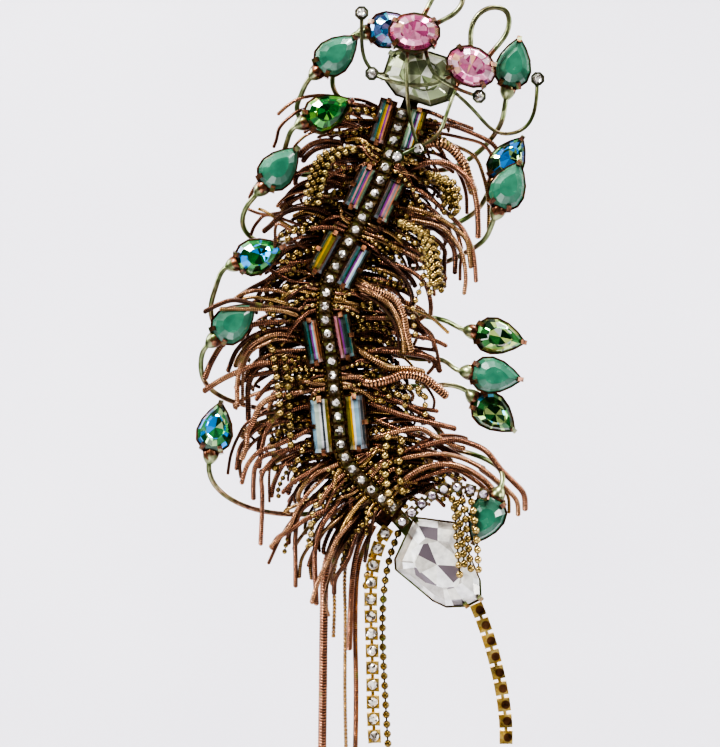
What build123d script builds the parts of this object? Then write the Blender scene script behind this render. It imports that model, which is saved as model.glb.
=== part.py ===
"""An insect brooch of soldered brass wire, cut stones, cup chain and a fringe of snake chain.

Millimetres, +Z up. The cloth that it is pinned on is the plane y = 0, and its front faces -Y.
The origin is the middle of the pin. Most tables give a place as across, up and high: across
and up in hundredths of body_length, high (in front of the cloth) in hundredths of body_height.
"""

import os
from itertools import pairwise
from math import cos, pi, radians, sin, tan

from build123d import *

os.makedirs("parts", exist_ok=True)

# Whole brooch
body_length = 115.0  # from neck to tail
body_height = 20.0  # from the cloth to the front of the fringe
fit = 0.15  # gap between pieces that touch on the real brooch
seat = 0.1  # gap between a stone and its cup
bend_room = 0.45  # gap that lets the cup chain bend between the straight baguettes

# Wire and plate
wire_d = 1.5
feeler_d = 1.1
cloth_gap = 0.45
plate_t = 1.2
rail_w = 5.2
backing_w = 4.0
backing_t = 3.8
bridge_t = 1.1

# Cups
cup_wall = 0.45
cup_floor = 0.6
claw_w = 1.3
claw_t = 0.6
claw_bite = 1.3

# Stones: length, width, crown, girdle and pavilion
pear_size = (14.0, 10.0, 2.4, 0.5, 2.5)
oval_size = (14.0, 10.5, 3.0, 0.5, 2.7)
baguette_size = (12.0, 4.0, 1.2, 0.4, 1.4)
tail_baguette_size = (15.0, 5.0, 1.4, 0.4, 1.5)
head_size = (20.0, 14.0, 2.8, 0.6, 2.6)
tail_size = (24.0, 25.0, 4.2, 0.8, 3.0)

# Cup chains: cup width, stone diameter and pitch
spine_chain = (3.0, 2.5, 3.95)
drape_chain = (3.0, 2.5, 3.85)
left_chain = (3.7, 3.1, 4.9)
right_chain = (3.7, 3.1, 4.7)
chain_link_w = 0.9
chain_link_t = 0.5
chain_claw = 0.8

# Cone behind each pear
cone_length = 3.6
cone_d = 4.6

# Fringe, strands and pin
lock_d = 3.0
ball_d = 2.4
pin_length = 35.0
pin_lean = 25.7
bar_w = 3.2
bar_t = 1.0
stem_d = 1.2
stem_gap = 4.9

# Levels in front of the cloth that follow from those sizes
foot_high = cloth_gap + wire_d / 2
plate_low = cloth_gap + wire_d + fit
plate_high = plate_low + plate_t
backing_low = plate_high + fit
backing_high = backing_low + backing_t
bridge_low = backing_high + fit
rail_high = bridge_low + bridge_t
backing_side = rail_w / 2 + fit + backing_w / 2
plate_w = rail_w + 2 * (fit + backing_w)
foot_end = bar_w / 2 + 2.0
strap_w = 2 * foot_end - wire_d - 1.3

front = Vector(0, -1, 0)

# The back of the insect, from neck to tail: across, up
spine_points = [
    (11.6, 27.8),
    (8.7, 18.3),
    (4.6, 6.9),
    (-1.2, -4.0),
    (-3.9, -9.0),
    (-6.4, -14.0),
    (-7.7, -18.5),
    (-7.9, -23.5),
    (-6.6, -32.0),
    (-5.5, -43.4),
    (-4.5, -50.0),
    (-3.4, -57.5),
    (-0.4, -62.5),
    (4.5, -67.5),
    (10.7, -72.4),
]


def place(across, up, high):
    """The point at a table's across, up and high."""
    return Vector(across * body_length / 100, -high * body_height / 100, up * body_length / 100)


with BuildLine() as spine_line:
    Spline(*[place(across, up, 0) for across, up in spine_points])
spine = spine_line.edges()[0]


def spine_plane(share, side=0.0, high=0.0):
    """The plane at a share of the spine: x across it, y towards the head, z to the front."""
    ahead = -(spine % share)
    across = ahead.cross(front)
    origin = spine @ share + across * side + front * high
    return Plane(origin=origin, x_dir=across, z_dir=front)


# Outlines of the stones, in shares of their half length and half width


def round_outline(corners):
    """A regular polygon, with a flat side towards x."""
    turns = [2 * pi * (corner + 0.5) / corners for corner in range(corners)]
    return [(cos(turn), sin(turn)) for turn in turns]


def pear_outline(corners):
    """A drop with its tip towards x."""
    turns = [2 * pi * corner / corners for corner in range(corners)]
    return [(cos(turn), 1.22 * sin(turn) * sin(turn / 2) ** 0.8) for turn in turns]


def step_outline(cut):
    """A rectangle with its corners cut off."""
    return [
        (1, cut),
        (cut, 1),
        (-cut, 1),
        (-1, cut),
        (-1, -cut),
        (-cut, -1),
        (cut, -1),
        (1, -cut),
    ]


baguette_outline = [
    (1.02, 0),
    (1, 1),
    (0, 1.02),
    (-1, 1),
    (-1.02, 0),
    (-1, -1),
    (0, -1.02),
    (1, -1),
]
tail_outline = [
    (-0.55, 1.0),
    (0.43, 0.88),
    (0.98, -0.40),
    (1.0, -0.82),
    (0.67, -0.98),
    (0.19, -1.0),
    (-0.12, -0.86),
    (-0.98, -0.17),
    (-1.0, 0.06),
]


def drawn(outline, size, grow):
    """An outline in mm, grown on every side."""
    length, width = size[0] / 2, size[1] / 2
    return [(x * (length + grow), y * (width + grow)) for x, y in outline]


def facets(rings):
    """A solid with flat facets between rings that have the same number of corners."""
    faces = [Face(Wire.make_polygon(ring)) for ring in (rings[0], rings[-1])]
    for lower, upper in pairwise(rings):
        for corner in range(len(lower)):
            sides = [lower[corner - 1], lower[corner], upper[corner], upper[corner - 1]]
            faces.append(Face(Wire.make_polygon(sides)))
    return Solid(Shell(faces))


def cut_stone(plane, outline, size, grow=0.0, table=0.5):
    """A faceted stone with its girdle on the plane; grow enlarges it all round, to cut its seat."""
    crown, girdle, pavilion = size[2:]
    levels = [
        (-girdle / 2 - pavilion - grow, 0.3),
        (-girdle / 2 - pavilion * 0.45 - grow, 0.78),
        (-girdle / 2 - grow, 1.0),
        (girdle / 2 + grow, 1.0),
        (girdle / 2 + crown * 0.6 + grow, (1.0 + table) / 2 + 0.07),
        (girdle / 2 + crown + grow, table),
    ]
    ring = drawn(outline, size, grow)
    rings = []
    for height, share in levels:
        rings.append([plane.from_local_coords(Vector(x * share, y * share, height)) for x, y in ring])
    return facets(rings)


# Shapes that are made one by one and then added to their piece together


def cup(plane, outline, size):
    """The closed cup under a stone, up to the top of its girdle."""
    crown, girdle, pavilion = size[2:]
    ring = drawn(outline, size, seat + cup_wall)
    rings = []
    for height, share in ((-girdle / 2 - pavilion - seat - cup_floor, 0.93), (girdle / 2, 1.0)):
        rings.append([plane.from_local_coords(Vector(x * share, y * share, height)) for x, y in ring])
    return facets(rings)


def claw(plane, outline, size, turn):
    """One claw, folded over the crown on the side that turn points to, in degrees."""
    crown, girdle, pavilion = size[2:]
    toward = Vector(cos(radians(turn)), sin(radians(turn)), 0)
    ring = [Vector(x, y, 0) for x, y in drawn(outline, size, seat + cup_wall)]
    foot = plane.from_local_coords(max(ring, key=lambda corner: corner.dot(toward)))
    inward = plane.origin - foot
    low = -girdle / 2 - pavilion
    top = girdle / 2 + crown * 0.6
    bite = min(claw_bite, size[1] / 4) + cup_wall
    with BuildSketch(Plane(origin=foot, x_dir=inward, z_dir=inward.cross(plane.z_dir))) as profile:
        with BuildLine():
            Polyline(
                (-claw_t / 2, low),
                (-claw_t / 2, girdle / 2 + 0.5),
                (bite - 0.3, top + claw_t + 0.3),
                (bite, top + 0.2),
                (bite, girdle / 2),
                (cup_wall, low),
                close=True,
            )
        make_face()
    return extrude(profile.sketch, amount=claw_w / 2, both=True, mode=Mode.PRIVATE)


def setting(plane, outline, size, claw_turns):
    """A cup and its claws; the stone's seat is cut out of them afterwards."""
    claws = [claw(plane, outline, size, turn) for turn in claw_turns]
    return [cup(plane, outline, size), *claws]


def wire(points, diameter, leave, arrive, straight_end=None):
    """A round wire through the points, with its directions at both ends."""
    with BuildLine() as route:
        Spline(*points, tangents=(leave, arrive), tangent_scalars=(1, 1))
        if straight_end:
            Line(points[-1], straight_end)
    with BuildSketch(Plane(origin=points[0], z_dir=leave)) as section:
        Circle(diameter / 2)
    return sweep(section.sketch, path=route.line, mode=Mode.PRIVATE)


def taper(start, end, start_d, end_d):
    """A round post between two points."""
    axis = end - start
    with BuildSketch(Plane(origin=start, z_dir=axis)) as foot:
        Circle(start_d / 2)
    with BuildSketch(Plane(origin=end, z_dir=axis)) as top:
        Circle(end_d / 2)
    return loft(sections=[foot.sketch, top.sketch], mode=Mode.PRIVATE)


def strap(start, end, width, low, high):
    """A flat bar between two points of the back, low and high above the cloth."""
    along = end - start
    with BuildSketch(Plane(origin=start + front * low, x_dir=along, z_dir=front)) as section:
        with Locations((along.length / 2, 0)):
            Rectangle(along.length, width)
    return extrude(section.sketch, amount=high - low, mode=Mode.PRIVATE)


def ribbon(start, end, side, width, low, high):
    """A bar that follows the spine from one share to another, at a distance to its side."""
    run = spine.trim(start, end)
    across = (-(run % 0)).cross(front)
    origin = run @ 0 + across * side + front * (low + high) / 2
    with BuildSketch(Plane(origin=origin, x_dir=across, z_dir=run % 0)) as section:
        Rectangle(width, high - low)
    return sweep(section.sketch, path=run, mode=Mode.PRIVATE)


def save(part, name):
    """Label a finished piece and write it."""
    part.label = name
    export_step(part, f"parts/{name}.step")


def save_metal(shapes, seats, name):
    """Solder the shapes into one piece, cut the stones' seats out of it and write it."""
    with BuildPart() as metal:
        add(shapes)
        if seats:
            add(seats, mode=Mode.SUBTRACT)
    save(metal.part, name)


# The five pairs of baguettes: share of the spine, size of the stones
baguette_pairs = [
    (0.045, baguette_size),
    (0.205, baguette_size),
    (0.372, baguette_size),
    (0.556, baguette_size),
    (0.748, tail_baguette_size),
]


def baguette_plane(share, size, side):
    """The girdle plane of a baguette beside the cup chain, its x along the stone."""
    crown, girdle, pavilion = size[2:]
    beside = spine_chain[0] / 2 + bend_room + cup_wall + seat + size[1] / 2
    high = rail_high + cup_floor + seat + pavilion + girdle / 2
    level = spine_plane(share, side * beside, high)
    return Plane(origin=level.origin, x_dir=level.y_dir, z_dir=front)


baguette_seats = []
for number, (share, size) in enumerate(baguette_pairs, 1):
    for side, word in ((-1, "left"), (1, "right")):
        plane = baguette_plane(share, size, side)
        save(cut_stone(plane, baguette_outline, size, table=0.55), f"baguette_{number}_{word}")
        baguette_seats.append(cut_stone(plane, baguette_outline, size, seat, table=0.55))

# The plate with its rail, five cross bars and ten baguette cups, soldered together
plate_shapes = [
    ribbon(0.0, 1.0, 0, plate_w, plate_low, plate_high),
    ribbon(0.02, 0.98, 0, rail_w, plate_high, rail_high),
]
for share, size in baguette_pairs:
    reach = spine_chain[0] + 2 * (bend_room + 2 * cup_wall + 2 * seat + size[1])
    with BuildSketch(spine_plane(share, 0, bridge_low)) as bridge:
        Rectangle(reach, size[0] * 0.4)
    plate_shapes.append(extrude(bridge.sketch, amount=rail_high - bridge_low, mode=Mode.PRIVATE))
    for side in (-1, 1):
        plane = baguette_plane(share, size, side)
        plate_shapes += setting(plane, baguette_outline, size, (0, 180, -side * 90))
save_metal(plate_shapes, baguette_seats, "spine_plate")


def stone_plane(centre, heading, lean=0.0, roll=0.0):
    """A girdle plane with x along the heading; lean lifts the tip and roll turns the face."""
    ahead = (cos(radians(heading)), 0, sin(radians(heading)))
    return Plane(origin=centre, x_dir=ahead, z_dir=front).rotated((roll, -lean, 0))


def cone(plane, size):
    """The tapered socket from the round end of a pear's cup, and where its wire starts."""
    inside = 2.0
    depth = -(size[3] + size[4]) / 2
    origin = plane.from_local_coords(Vector(inside - size[0] / 2, 0, depth))
    profile_plane = Plane(origin=origin, x_dir=-plane.x_dir, z_dir=plane.y_dir)
    end = inside + cone_length
    with BuildSketch(profile_plane) as profile:
        with BuildLine():
            Spline((0, cone_d * 0.36), (inside + 1.0, cone_d / 2), (end, wire_d / 2))
            Polyline((end, wire_d / 2), (end, 0), (0, 0), (0, cone_d * 0.36))
        make_face()
    shape = revolve(profile.sketch, axis=Axis(origin, profile_plane.x_dir), mode=Mode.PRIVATE)
    return shape, profile_plane.from_local_coords(Vector(end - 0.8, 0, 0))


# The legs: name, place of the stone, heading, lean, roll, share of the spine and side of the foot
legs = [
    ("brow", (9.1, 47.4, 37), 5, 0, 0, 0.03, -1),
    ("left_1", (-4.7, 40.9, 62), 41, 0, 0, 0.09, -1),
    ("left_2", (-6.9, 26.5, 72), 25, 0, 8, 0.185, -1),
    ("left_3", (-18.8, 12.9, 60), 48, 0, 0, 0.38, -1),
    ("left_4", (-23.8, -8.8, 66), 21, 0, 10, 0.535, -1),
    ("left_5", (-30.0, -25.3, 66), 40, 0, 0, 0.705, -1),
    ("left_6", (-34.9, -51.3, 45), 79, 0, -8, 0.885, -1),
    ("right_1", (38.9, 38.9, 45), 78, 0, 4, 0.11, 1),
    ("right_2", (37.7, 15.1, 40), 58, 0, 0, 0.225, 1),
    ("right_3", (37.4, 8.2, 75), 66, 0, 0, 0.33, 1),
    ("right_4", (35.4, -29.0, 45), -12, 0, 0, 0.49, 1),
    ("right_5", (34.4, -38.6, 57), -8, 0, 0, 0.60, 1),
    ("right_6", (34.4, -48.2, 23), -40, 0, 0, 0.67, 1),
    ("tail", (31.5, -74.1, 65), -117, 0, 0, 0.80, 1),
]

# The places that each leg's wire passes between its cone and the run beside the plate
leg_routes = {
    "brow": [(-3.0, 43.0, 22), (-5.5, 38.2, 16), (-6.0, 34.0, 10)],
    "left_1": [(-13.8, 31.2, 38), (-14.9, 27.5, 20), (-12.5, 23.8, 10)],
    "left_2": [(-17.3, 19.5, 41), (-18.0, 15.5, 27), (-15.0, 12.0, 15)],
    "left_3": [(-27.6, 2.8, 40), (-28.3, -1.2, 28), (-25.0, -4.8, 15)],
    "left_4": [(-34.8, -16.5, 52), (-36.2, -22.0, 40), (-34.7, -26.8, 26), (-29.0, -29.4, 13)],
    "left_5": [(-38.6, -35.0, 44), (-37.8, -40.0, 30), (-34.0, -43.6, 18), (-25.0, -46.6, 9)],
    "left_6": [(-35.9, -64.5, 38), (-32.0, -68.8, 28), (-25.5, -71.8, 20), (-16.5, -73.2, 11)],
    "right_1": [(36.0, 24.8, 38), (33.4, 20.4, 26), (27.5, 15.2, 12)],
    "right_2": [(31.0, 4.0, 30), (28.0, 1.2, 20), (22.0, -1.4, 11)],
    "right_3": [(32.0, -4.2, 52), (28.0, -7.4, 28), (22.0, -10.2, 12), (14.5, -11.8, 7)],
    "right_4": [(23.0, -25.3, 28), (17.6, -23.8, 10), (10.5, -22.5, 6)],
    "right_5": [(22.0, -35.0, 30), (16.0, -34.4, 10), (10.5, -33.6, 6)],
    "right_6": [(24.0, -41.0, 16), (17.0, -41.2, 9), (11.0, -41.0, 6)],
    "tail": [(35.8, -62.5, 50), (33.0, -59.8, 40), (28.0, -57.8, 26), (20.0, -56.2, 11), (13.0, -54.6, 6)],
}
pear_ring = pear_outline(14)

for name, centre, heading, lean, roll, share, side in legs:
    plane = stone_plane(place(*centre), heading, lean, roll)
    save(cut_stone(plane, pear_ring, pear_size), f"pear_{name}")
    pear_seat = cut_stone(plane, pear_ring, pear_size, seat)
    edge = spine_plane(share, side * (plate_w / 2 + 1.0), foot_high)
    foot = spine_plane(share, side * foot_end, foot_high)
    socket, wire_start = cone(plane, pear_size)
    beside = spine_plane(share, side * (plate_w / 2 + 5.5), foot_high)
    passed = [place(*point) for point in leg_routes[name]]
    points = [wire_start, *passed, beside.origin, edge.origin]
    leg_wire = wire(points, wire_d, -plane.x_dir, edge.x_dir * -side, foot.origin)
    cup_shapes = setting(plane, pear_ring, pear_size, (40, 140, 220, 320))
    save_metal([*cup_shapes, socket, leg_wire], [pear_seat], f"leg_{name}")

# The head: a cup for the large stone, two eyes on posts, feelers and antenna loops, all soldered,
# on a strap that passes behind the plate
head_plane = stone_plane(place(15.9, 35.7, 40), -18)
eye_planes = {
    "left": stone_plane(place(14.1, 45.7, 77), 0, 0, -6),
    "right": stone_plane(place(28.1, 37.4, 73), -27),
}
head_ring = step_outline(0.5)
eye_ring = round_outline(14)
tip_ring = round_outline(8)
tip_size = (3.0, 3.0, 0.9, 0.3, 0.8)

# Feelers: the places of each from the metal that it leaves to its small stone
feelers = [
    [(11.5, 38.0, 28), (5.0, 36.7, 30), (2.4, 39.2, 34), (1.2, 45.0, 44), (1.2, 51.0, 56)],
    [
        (22.0, 34.0, 30),
        (26.8, 29.6, 34),
        (30.0, 26.2, 38),
        (35.4, 21.6, 44),
        (41.5, 22.8, 50),
        (44.4, 31.0, 56),
        (44.6, 34.7, 58),
    ],
    [(25.5, 36.5, 60), (20.0, 33.8, 63), (14.0, 33.0, 64), (8.0, 34.2, 63), (3.7, 36.0, 58)],
    [(16.5, 43.5, 63), (18.6, 36.5, 66), (24.0, 32.5, 63), (30.2, 30.4, 56)],
    [(12.6, 43.0, 63), (12.2, 36.5, 65), (12.4, 31.0, 68), (13.1, 24.8, 72), (15.2, 17.3, 70)],
    [(25.5, 35.0, 60), (22.5, 27.0, 62), (19.5, 20.5, 66), (13.5, 17.0, 70), (9.9, 15.3, 72)],
]

# Antenna loops: the places of each, from one side of an eye's cup to the other
antennas = [
    [
        (15.9, 49.0, 70),
        (18.6, 54.2, 70),
        (22.3, 58.0, 70),
        (25.8, 56.0, 70),
        (25.3, 52.0, 70),
        (18.9, 47.6, 70),
    ],
    [
        (28.0, 40.8, 66),
        (28.5, 48.0, 68),
        (32.5, 51.8, 70),
        (36.7, 51.0, 70),
        (37.4, 47.8, 70),
        (31.9, 39.3, 66),
    ],
]


def on_cloth(point):
    """The point of the cloth behind a point."""
    return Vector(point.X, 0, point.Z)


def post(plane, size, end, start_d, end_d, below=0.0):
    """A tapered post from the back of a stone's cup to another place."""
    floor = plane.from_local_coords(Vector(0, -below, -size[3] / 2 - size[4]))
    return taper(floor, end, start_d, end_d)


head_seats = [cut_stone(head_plane, head_ring, head_size, seat, table=0.6)]
for word, plane in eye_planes.items():
    save(cut_stone(plane, eye_ring, oval_size, table=0.55), f"eye_{word}")
    head_seats.append(cut_stone(plane, eye_ring, oval_size, seat, table=0.55))
save(cut_stone(head_plane, head_ring, head_size, table=0.6), "head_stone")

tip_planes = [Plane(origin=place(*points[-1]), x_dir=(1, 0, 0), z_dir=front) for points in feelers]
head_seats += [cut_stone(plane, tip_ring, tip_size, seat) for plane in tip_planes]
save_metal([cut_stone(plane, tip_ring, tip_size) for plane in tip_planes], [], "feeler_stones")

head_back = on_cloth(head_plane.origin)
head_shapes = [
    strap(spine @ 0.07, head_back, strap_w, cloth_gap, cloth_gap + wire_d),
    post(head_plane, head_size, head_back + front * (cloth_gap + 0.1), 9.0, 7.0),
    *setting(head_plane, head_ring, head_size, (28, 152, 208, 332)),
    post(eye_planes["left"], oval_size, head_plane.from_local_coords(Vector(-2, 5, -2.6)), 3.4, 5.0, 3.0),
    post(eye_planes["right"], oval_size, head_plane.from_local_coords(Vector(7, 1, -2.6)), 3.4, 5.0, 3.0),
]
for plane in eye_planes.values():
    head_shapes += setting(plane, eye_ring, oval_size, (45, 135, 225, 315))
for plane, points in zip(tip_planes, feelers):
    cup_back = plane.from_local_coords(Vector(0, 0, -tip_size[4] - seat - cup_floor / 2))
    passed = [*[place(*point) for point in points[:-1]], cup_back]
    head_shapes.append(cup(plane, tip_ring, tip_size))
    head_shapes.append(wire(passed, feeler_d, passed[1] - passed[0], passed[-1] - passed[-2]))
for points in antennas:
    passed = [place(*point) for point in points]
    head_shapes.append(wire(passed, wire_d, passed[1] - passed[0], passed[-1] - passed[-2]))
save_metal(head_shapes, head_seats, "head_frame")

# The tail: the large stone in its cup, on a strap that passes behind the plate
tail_plane = stone_plane(place(20.1, -84.8, 35), 0)
tail_claws = (-72, -10, 103, 149)
tail_seat = cut_stone(tail_plane, tail_outline, tail_size, seat, table=0.55)
save(cut_stone(tail_plane, tail_outline, tail_size, table=0.55), "tail_stone")
tail_back = on_cloth(tail_plane.origin)
tail_shapes = [
    strap(spine @ 0.93, tail_back, strap_w, cloth_gap, cloth_gap + wire_d),
    post(tail_plane, tail_size, tail_back + front * (cloth_gap + 0.1), 9.0, 7.0),
    *setting(tail_plane, tail_outline, tail_size, tail_claws),
]
save_metal(tail_shapes, [tail_seat], "tail_setting")


def chain_planes(route, chain, facing):
    """The girdle planes of a cup chain along a flat route, facing the front (1) or the cloth (-1)."""
    pitch = chain[2]
    count = int(route.length / pitch)
    planes = []
    for number in range(count):
        share = (number + 0.5) * pitch / route.length
        along = route % share
        planes.append(Plane(origin=route @ share, x_dir=along, z_dir=front * facing))
    return planes


def chain_size(chain):
    """The sizes of a cup chain's stones: length, width, crown, girdle, pavilion."""
    stone_d = chain[1]
    return (stone_d, stone_d, stone_d * 0.3, 0.3, stone_d * 0.32)


def chain_floor(chain):
    """The distance of a cup's back from its girdle plane."""
    crown, girdle, pavilion = chain_size(chain)[2:]
    return girdle / 2 + pavilion + seat + cup_floor


def cup_chain(route, chain, facing, name):
    """Write a cup chain: its linked cups in one piece and its stones in another."""
    size = chain_size(chain)
    floor = chain_floor(chain)
    planes = chain_planes(route, chain, facing)
    with BuildPart() as link_cup:
        with BuildSketch(Plane.XY.offset(-floor)):
            Rectangle(chain[0], chain[0])
        extrude(amount=floor + size[3] / 2)
        with BuildSketch(Plane.XY.offset(-floor + cup_floor)):
            with GridLocations(chain[0] - chain_claw, chain[0] - chain_claw, 2, 2):
                Rectangle(chain_claw, chain_claw)
        extrude(amount=floor - cup_floor + size[2] * 0.8)
        add(cut_stone(Plane.XY, tip_ring, size, seat), mode=Mode.SUBTRACT)
    run = route.trim(0.5 * chain[2] / route.length, (len(planes) - 0.5) * chain[2] / route.length)
    start = run @ 0 - front * facing * (floor - chain_link_t / 2)
    with BuildSketch(Plane(origin=start, x_dir=front, z_dir=run % 0)) as section:
        Rectangle(chain_link_t, chain_link_w)
    links = sweep(section.sketch, path=run, mode=Mode.PRIVATE)
    save_metal([links, *[plane.location * link_cup.part for plane in planes]], [], f"{name}_cups")
    stone = cut_stone(Plane.XY, tip_ring, size)
    save_metal([plane.location * stone for plane in planes], [], f"{name}_chatons")


def flat_route(points, high):
    """A smooth route through across, up points, all at one distance from the cloth, in mm."""
    with BuildLine() as route:
        Spline(*[place(across, up, 0) + front * high for across, up in points])
    return route.edges()[0]


# The routes of the draped cup chain (across, up, high) and the two hanging ones (across, up)
drape_points = [
    (9.9, -75.6, 62),
    (13.4, -72.4, 66),
    (17.6, -68.6, 73),
    (22.8, -66.0, 80),
    (27.5, -66.4, 87),
    (33.8, -68.6, 90),
]
trail_left_points = [
    (8.2, -76.0),
    (5.2, -81.5),
    (3.6, -89.5),
    (3.5, -98.5),
    (3.8, -107.0),
    (4.0, -119.5),
    (4.8, -133.5),
]
trail_right_points = [
    (29.4, -95.0),
    (32.5, -103.0),
    (35.0, -112.0),
    (36.8, -122.0),
    (36.9, -133.5),
]

spine_girdle = rail_high + fit + chain_floor(spine_chain)
trail_left_girdle = 5.6
trail_right_girdle = 3.2
cup_chain(flat_route(spine_points, spine_girdle), spine_chain, 1, "spine")
with BuildLine() as drape_line:
    Spline(*[place(*point) for point in drape_points])
cup_chain(drape_line.edges()[0], drape_chain, 1, "drape")
cup_chain(flat_route(trail_left_points, trail_left_girdle), left_chain, 1, "trail_left")
cup_chain(flat_route(trail_right_points, trail_right_girdle), right_chain, -1, "trail_right")

# The locks of the fringe: share of the spine where each starts, its tip (across, up), and how
# high its crest and its tip stand, in hundredths of body_height
left_locks = [
    (0.03, -18.3, 25.3, 42, 46),
    (0.09, -13.0, 17.0, 42, 34),
    (0.15, -13.0, 9.0, 42, 34),
    (0.21, -22.0, 1.0, 42, 32),
    (0.27, -19.5, -5.5, 42, 30),
    (0.33, -24.0, -14.0, 42, 30),
    (0.39, -30.0, -20.0, 37, 28),
    (0.45, -28.5, -25.5, 37, 28),
    (0.51, -32.0, -33.0, 42, 30),
    (0.57, -33.0, -38.5, 42, 30),
    (0.63, -30.0, -46.0, 42, 30),
    (0.69, -29.0, -53.0, 42, 30),
    (0.75, -30.0, -60.5, 42, 30),
    (0.81, -25.0, -66.5, 42, 30),
    (0.87, -20.0, -84.0, 46, 36),
    (0.92, -14.0, -95.0, 50, 40),
    (0.96, -9.5, -101.0, 52, 42),
]
right_locks = [
    (0.03, 24.3, 22.8, 42, 34),
    (0.09, 26.0, 14.0, 42, 34),
    (0.15, 24.0, 6.0, 42, 34),
    (0.21, 25.5, -2.0, 42, 36),
    (0.27, 25.0, -14.0, 42, 30),
    (0.33, 21.0, -18.0, 42, 30),
    (0.39, 17.0, -22.0, 42, 32),
    (0.45, 18.0, -28.0, 42, 32),
    (0.51, 19.0, -30.5, 42, 32),
    (0.57, 20.0, -37.0, 42, 34),
    (0.63, 22.0, -45.0, 42, 30),
    (0.69, 24.0, -51.0, 42, 30),
    (0.75, 24.0, -55.5, 42, 34),
    (0.81, 27.0, -63.5, 42, 34),
    (0.87, 28.0, -67.0, 42, 34),
]


def lock(share, side, tip, crest, diameter):
    """A lock of the fringe, from the middle of its backing over a crest to its tip."""
    root = spine_plane(share, side * backing_side, (backing_low + backing_high) / 2)
    end = place(*tip)
    reach = end - root.origin
    top = root.origin + reach * 0.5
    top = Vector(top.X, -crest * body_height / 100, top.Z + 0.12 * abs(reach.X))
    out = root.x_dir * side
    return wire([root.origin, top, end], diameter, out, Vector(out.X * 0.4, 0, -1))


for rows, side, word in ((left_locks, -1, "left"), (right_locks, 1, "right")):
    fringe_shapes = [ribbon(0.02, 0.98, side * backing_side, backing_w, backing_low, backing_high)]
    for share, across, up, crest, tip_high in rows:
        fringe_shapes.append(lock(share, side, (across, up, tip_high), crest, lock_d))
    save_metal(fringe_shapes, [], f"fringe_{word}")


def strand(points, diameter):
    """A limp strand of chain as a tube: straight runs with rounded turns."""
    corners = [place(*point) for point in points]
    bends = []
    for before, corner, after in zip(corners, corners[1:], corners[2:]):
        first, second = corner - before, after - corner
        turn = radians(first.get_angle(second))
        bends.append(0.45 * min(first.length, second.length) / tan(turn / 2))
    with BuildLine() as route:
        FilletPolyline(*corners, radius=bends)
    with BuildSketch(Plane(origin=corners[0], z_dir=corners[1] - corners[0])) as section:
        Circle(diameter / 2)
    return sweep(section.sketch, path=route.line, mode=Mode.PRIVATE)


# Loose snake and box chains below the tail: diameter, then the places that each passes
long_strands = [
    (
        2.6,
        [
            (-1.2, -73.0, 12),
            (-5.0, -79.0, 12),
            (-7.8, -87.0, 10),
            (-8.3, -101.0, 9),
            (-8.5, -117.0, 10),
            (-8.7, -133.5, 9),
        ],
    ),
    (1.2, [(0.4, -73.6, 12), (-3.6, -79.8, 12), (-5.7, -88.0, 9), (-5.6, -96.0, 8), (-5.9, -104.6, 8)]),
    (
        1.2,
        [
            (2.0, -74.2, 12),
            (-1.4, -80.4, 12),
            (-3.0, -88.0, 8),
            (-2.9, -100.0, 6),
            (-3.0, -117.0, 7),
            (-2.7, -133.5, 6),
        ],
    ),
    (1.8, [(3.0, -75.2, 12), (0.4, -81.0, 15), (-1.0, -88.0, 19), (-1.6, -98.0, 19), (-1.9, -107.2, 18)]),
    (
        1.6,
        [
            (4.4, -76.0, 12),
            (1.6, -82.0, 10),
            (0.0, -89.0, 7),
            (-0.4, -102.0, 8),
            (-0.2, -118.0, 7),
            (-0.4, -133.5, 8),
        ],
    ),
]
long_shapes = [strand(points, diameter) for diameter, points in long_strands]
save_metal(long_shapes, [], "long_strands")

# Ball chain: strands beside the trail, over the tail stone and down the front
ball_strands = [
    [
        (11.6, -77.4, 19),
        (8.2, -84.0, 19),
        (6.8, -92.0, 17),
        (6.4, -103.0, 10),
        (7.0, -117.0, 8),
        (7.9, -133.5, 8),
    ],
    [(6.4, -78.0, 8), (3.4, -84.5, 7), (1.9, -93.5, 8)],
    [(23.5, -69.4, 72), (24.4, -79.0, 70), (25.5, -89.7, 72)],
    [(26.0, -69.8, 80), (27.1, -79.0, 80), (28.2, -88.2, 79)],
    [(7.7, -52.5, 60), (6.9, -61.0, 62), (8.6, -72.0, 64)],
    [(11.2, -53.5, 55), (10.4, -62.0, 56), (11.8, -69.5, 56)],
    [(-21.0, -31.0, 57), (-19.6, -40.0, 58), (-18.6, -50.0, 57)],
    [(-18.0, -33.0, 57), (-16.8, -43.0, 58), (-16.2, -58.0, 57)],
]
# Tassels of ball chain: diameter, then root, middle and tip
tassels = [
    (6.0, [(-0.5, 17.5, 66), (-7.5, 14.5, 68), (-10.8, 4.0, 66)]),
    (6.0, [(18.2, 11.0, 66), (22.6, 8.4, 67), (23.8, 0.5, 66)]),
    (5.0, [(10.5, -0.5, 63), (17.5, -5.0, 63), (20.0, -18.0, 62)]),
]
ball_shapes = [strand(points, ball_d) for points in ball_strands]
for diameter, points in tassels:
    root, middle, tip = [place(*point) for point in points]
    ball_shapes.append(wire([root, middle, tip], diameter, middle - root, Vector(0, 0, -1)))
save_metal(ball_shapes, [], "ball_strands")

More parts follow.
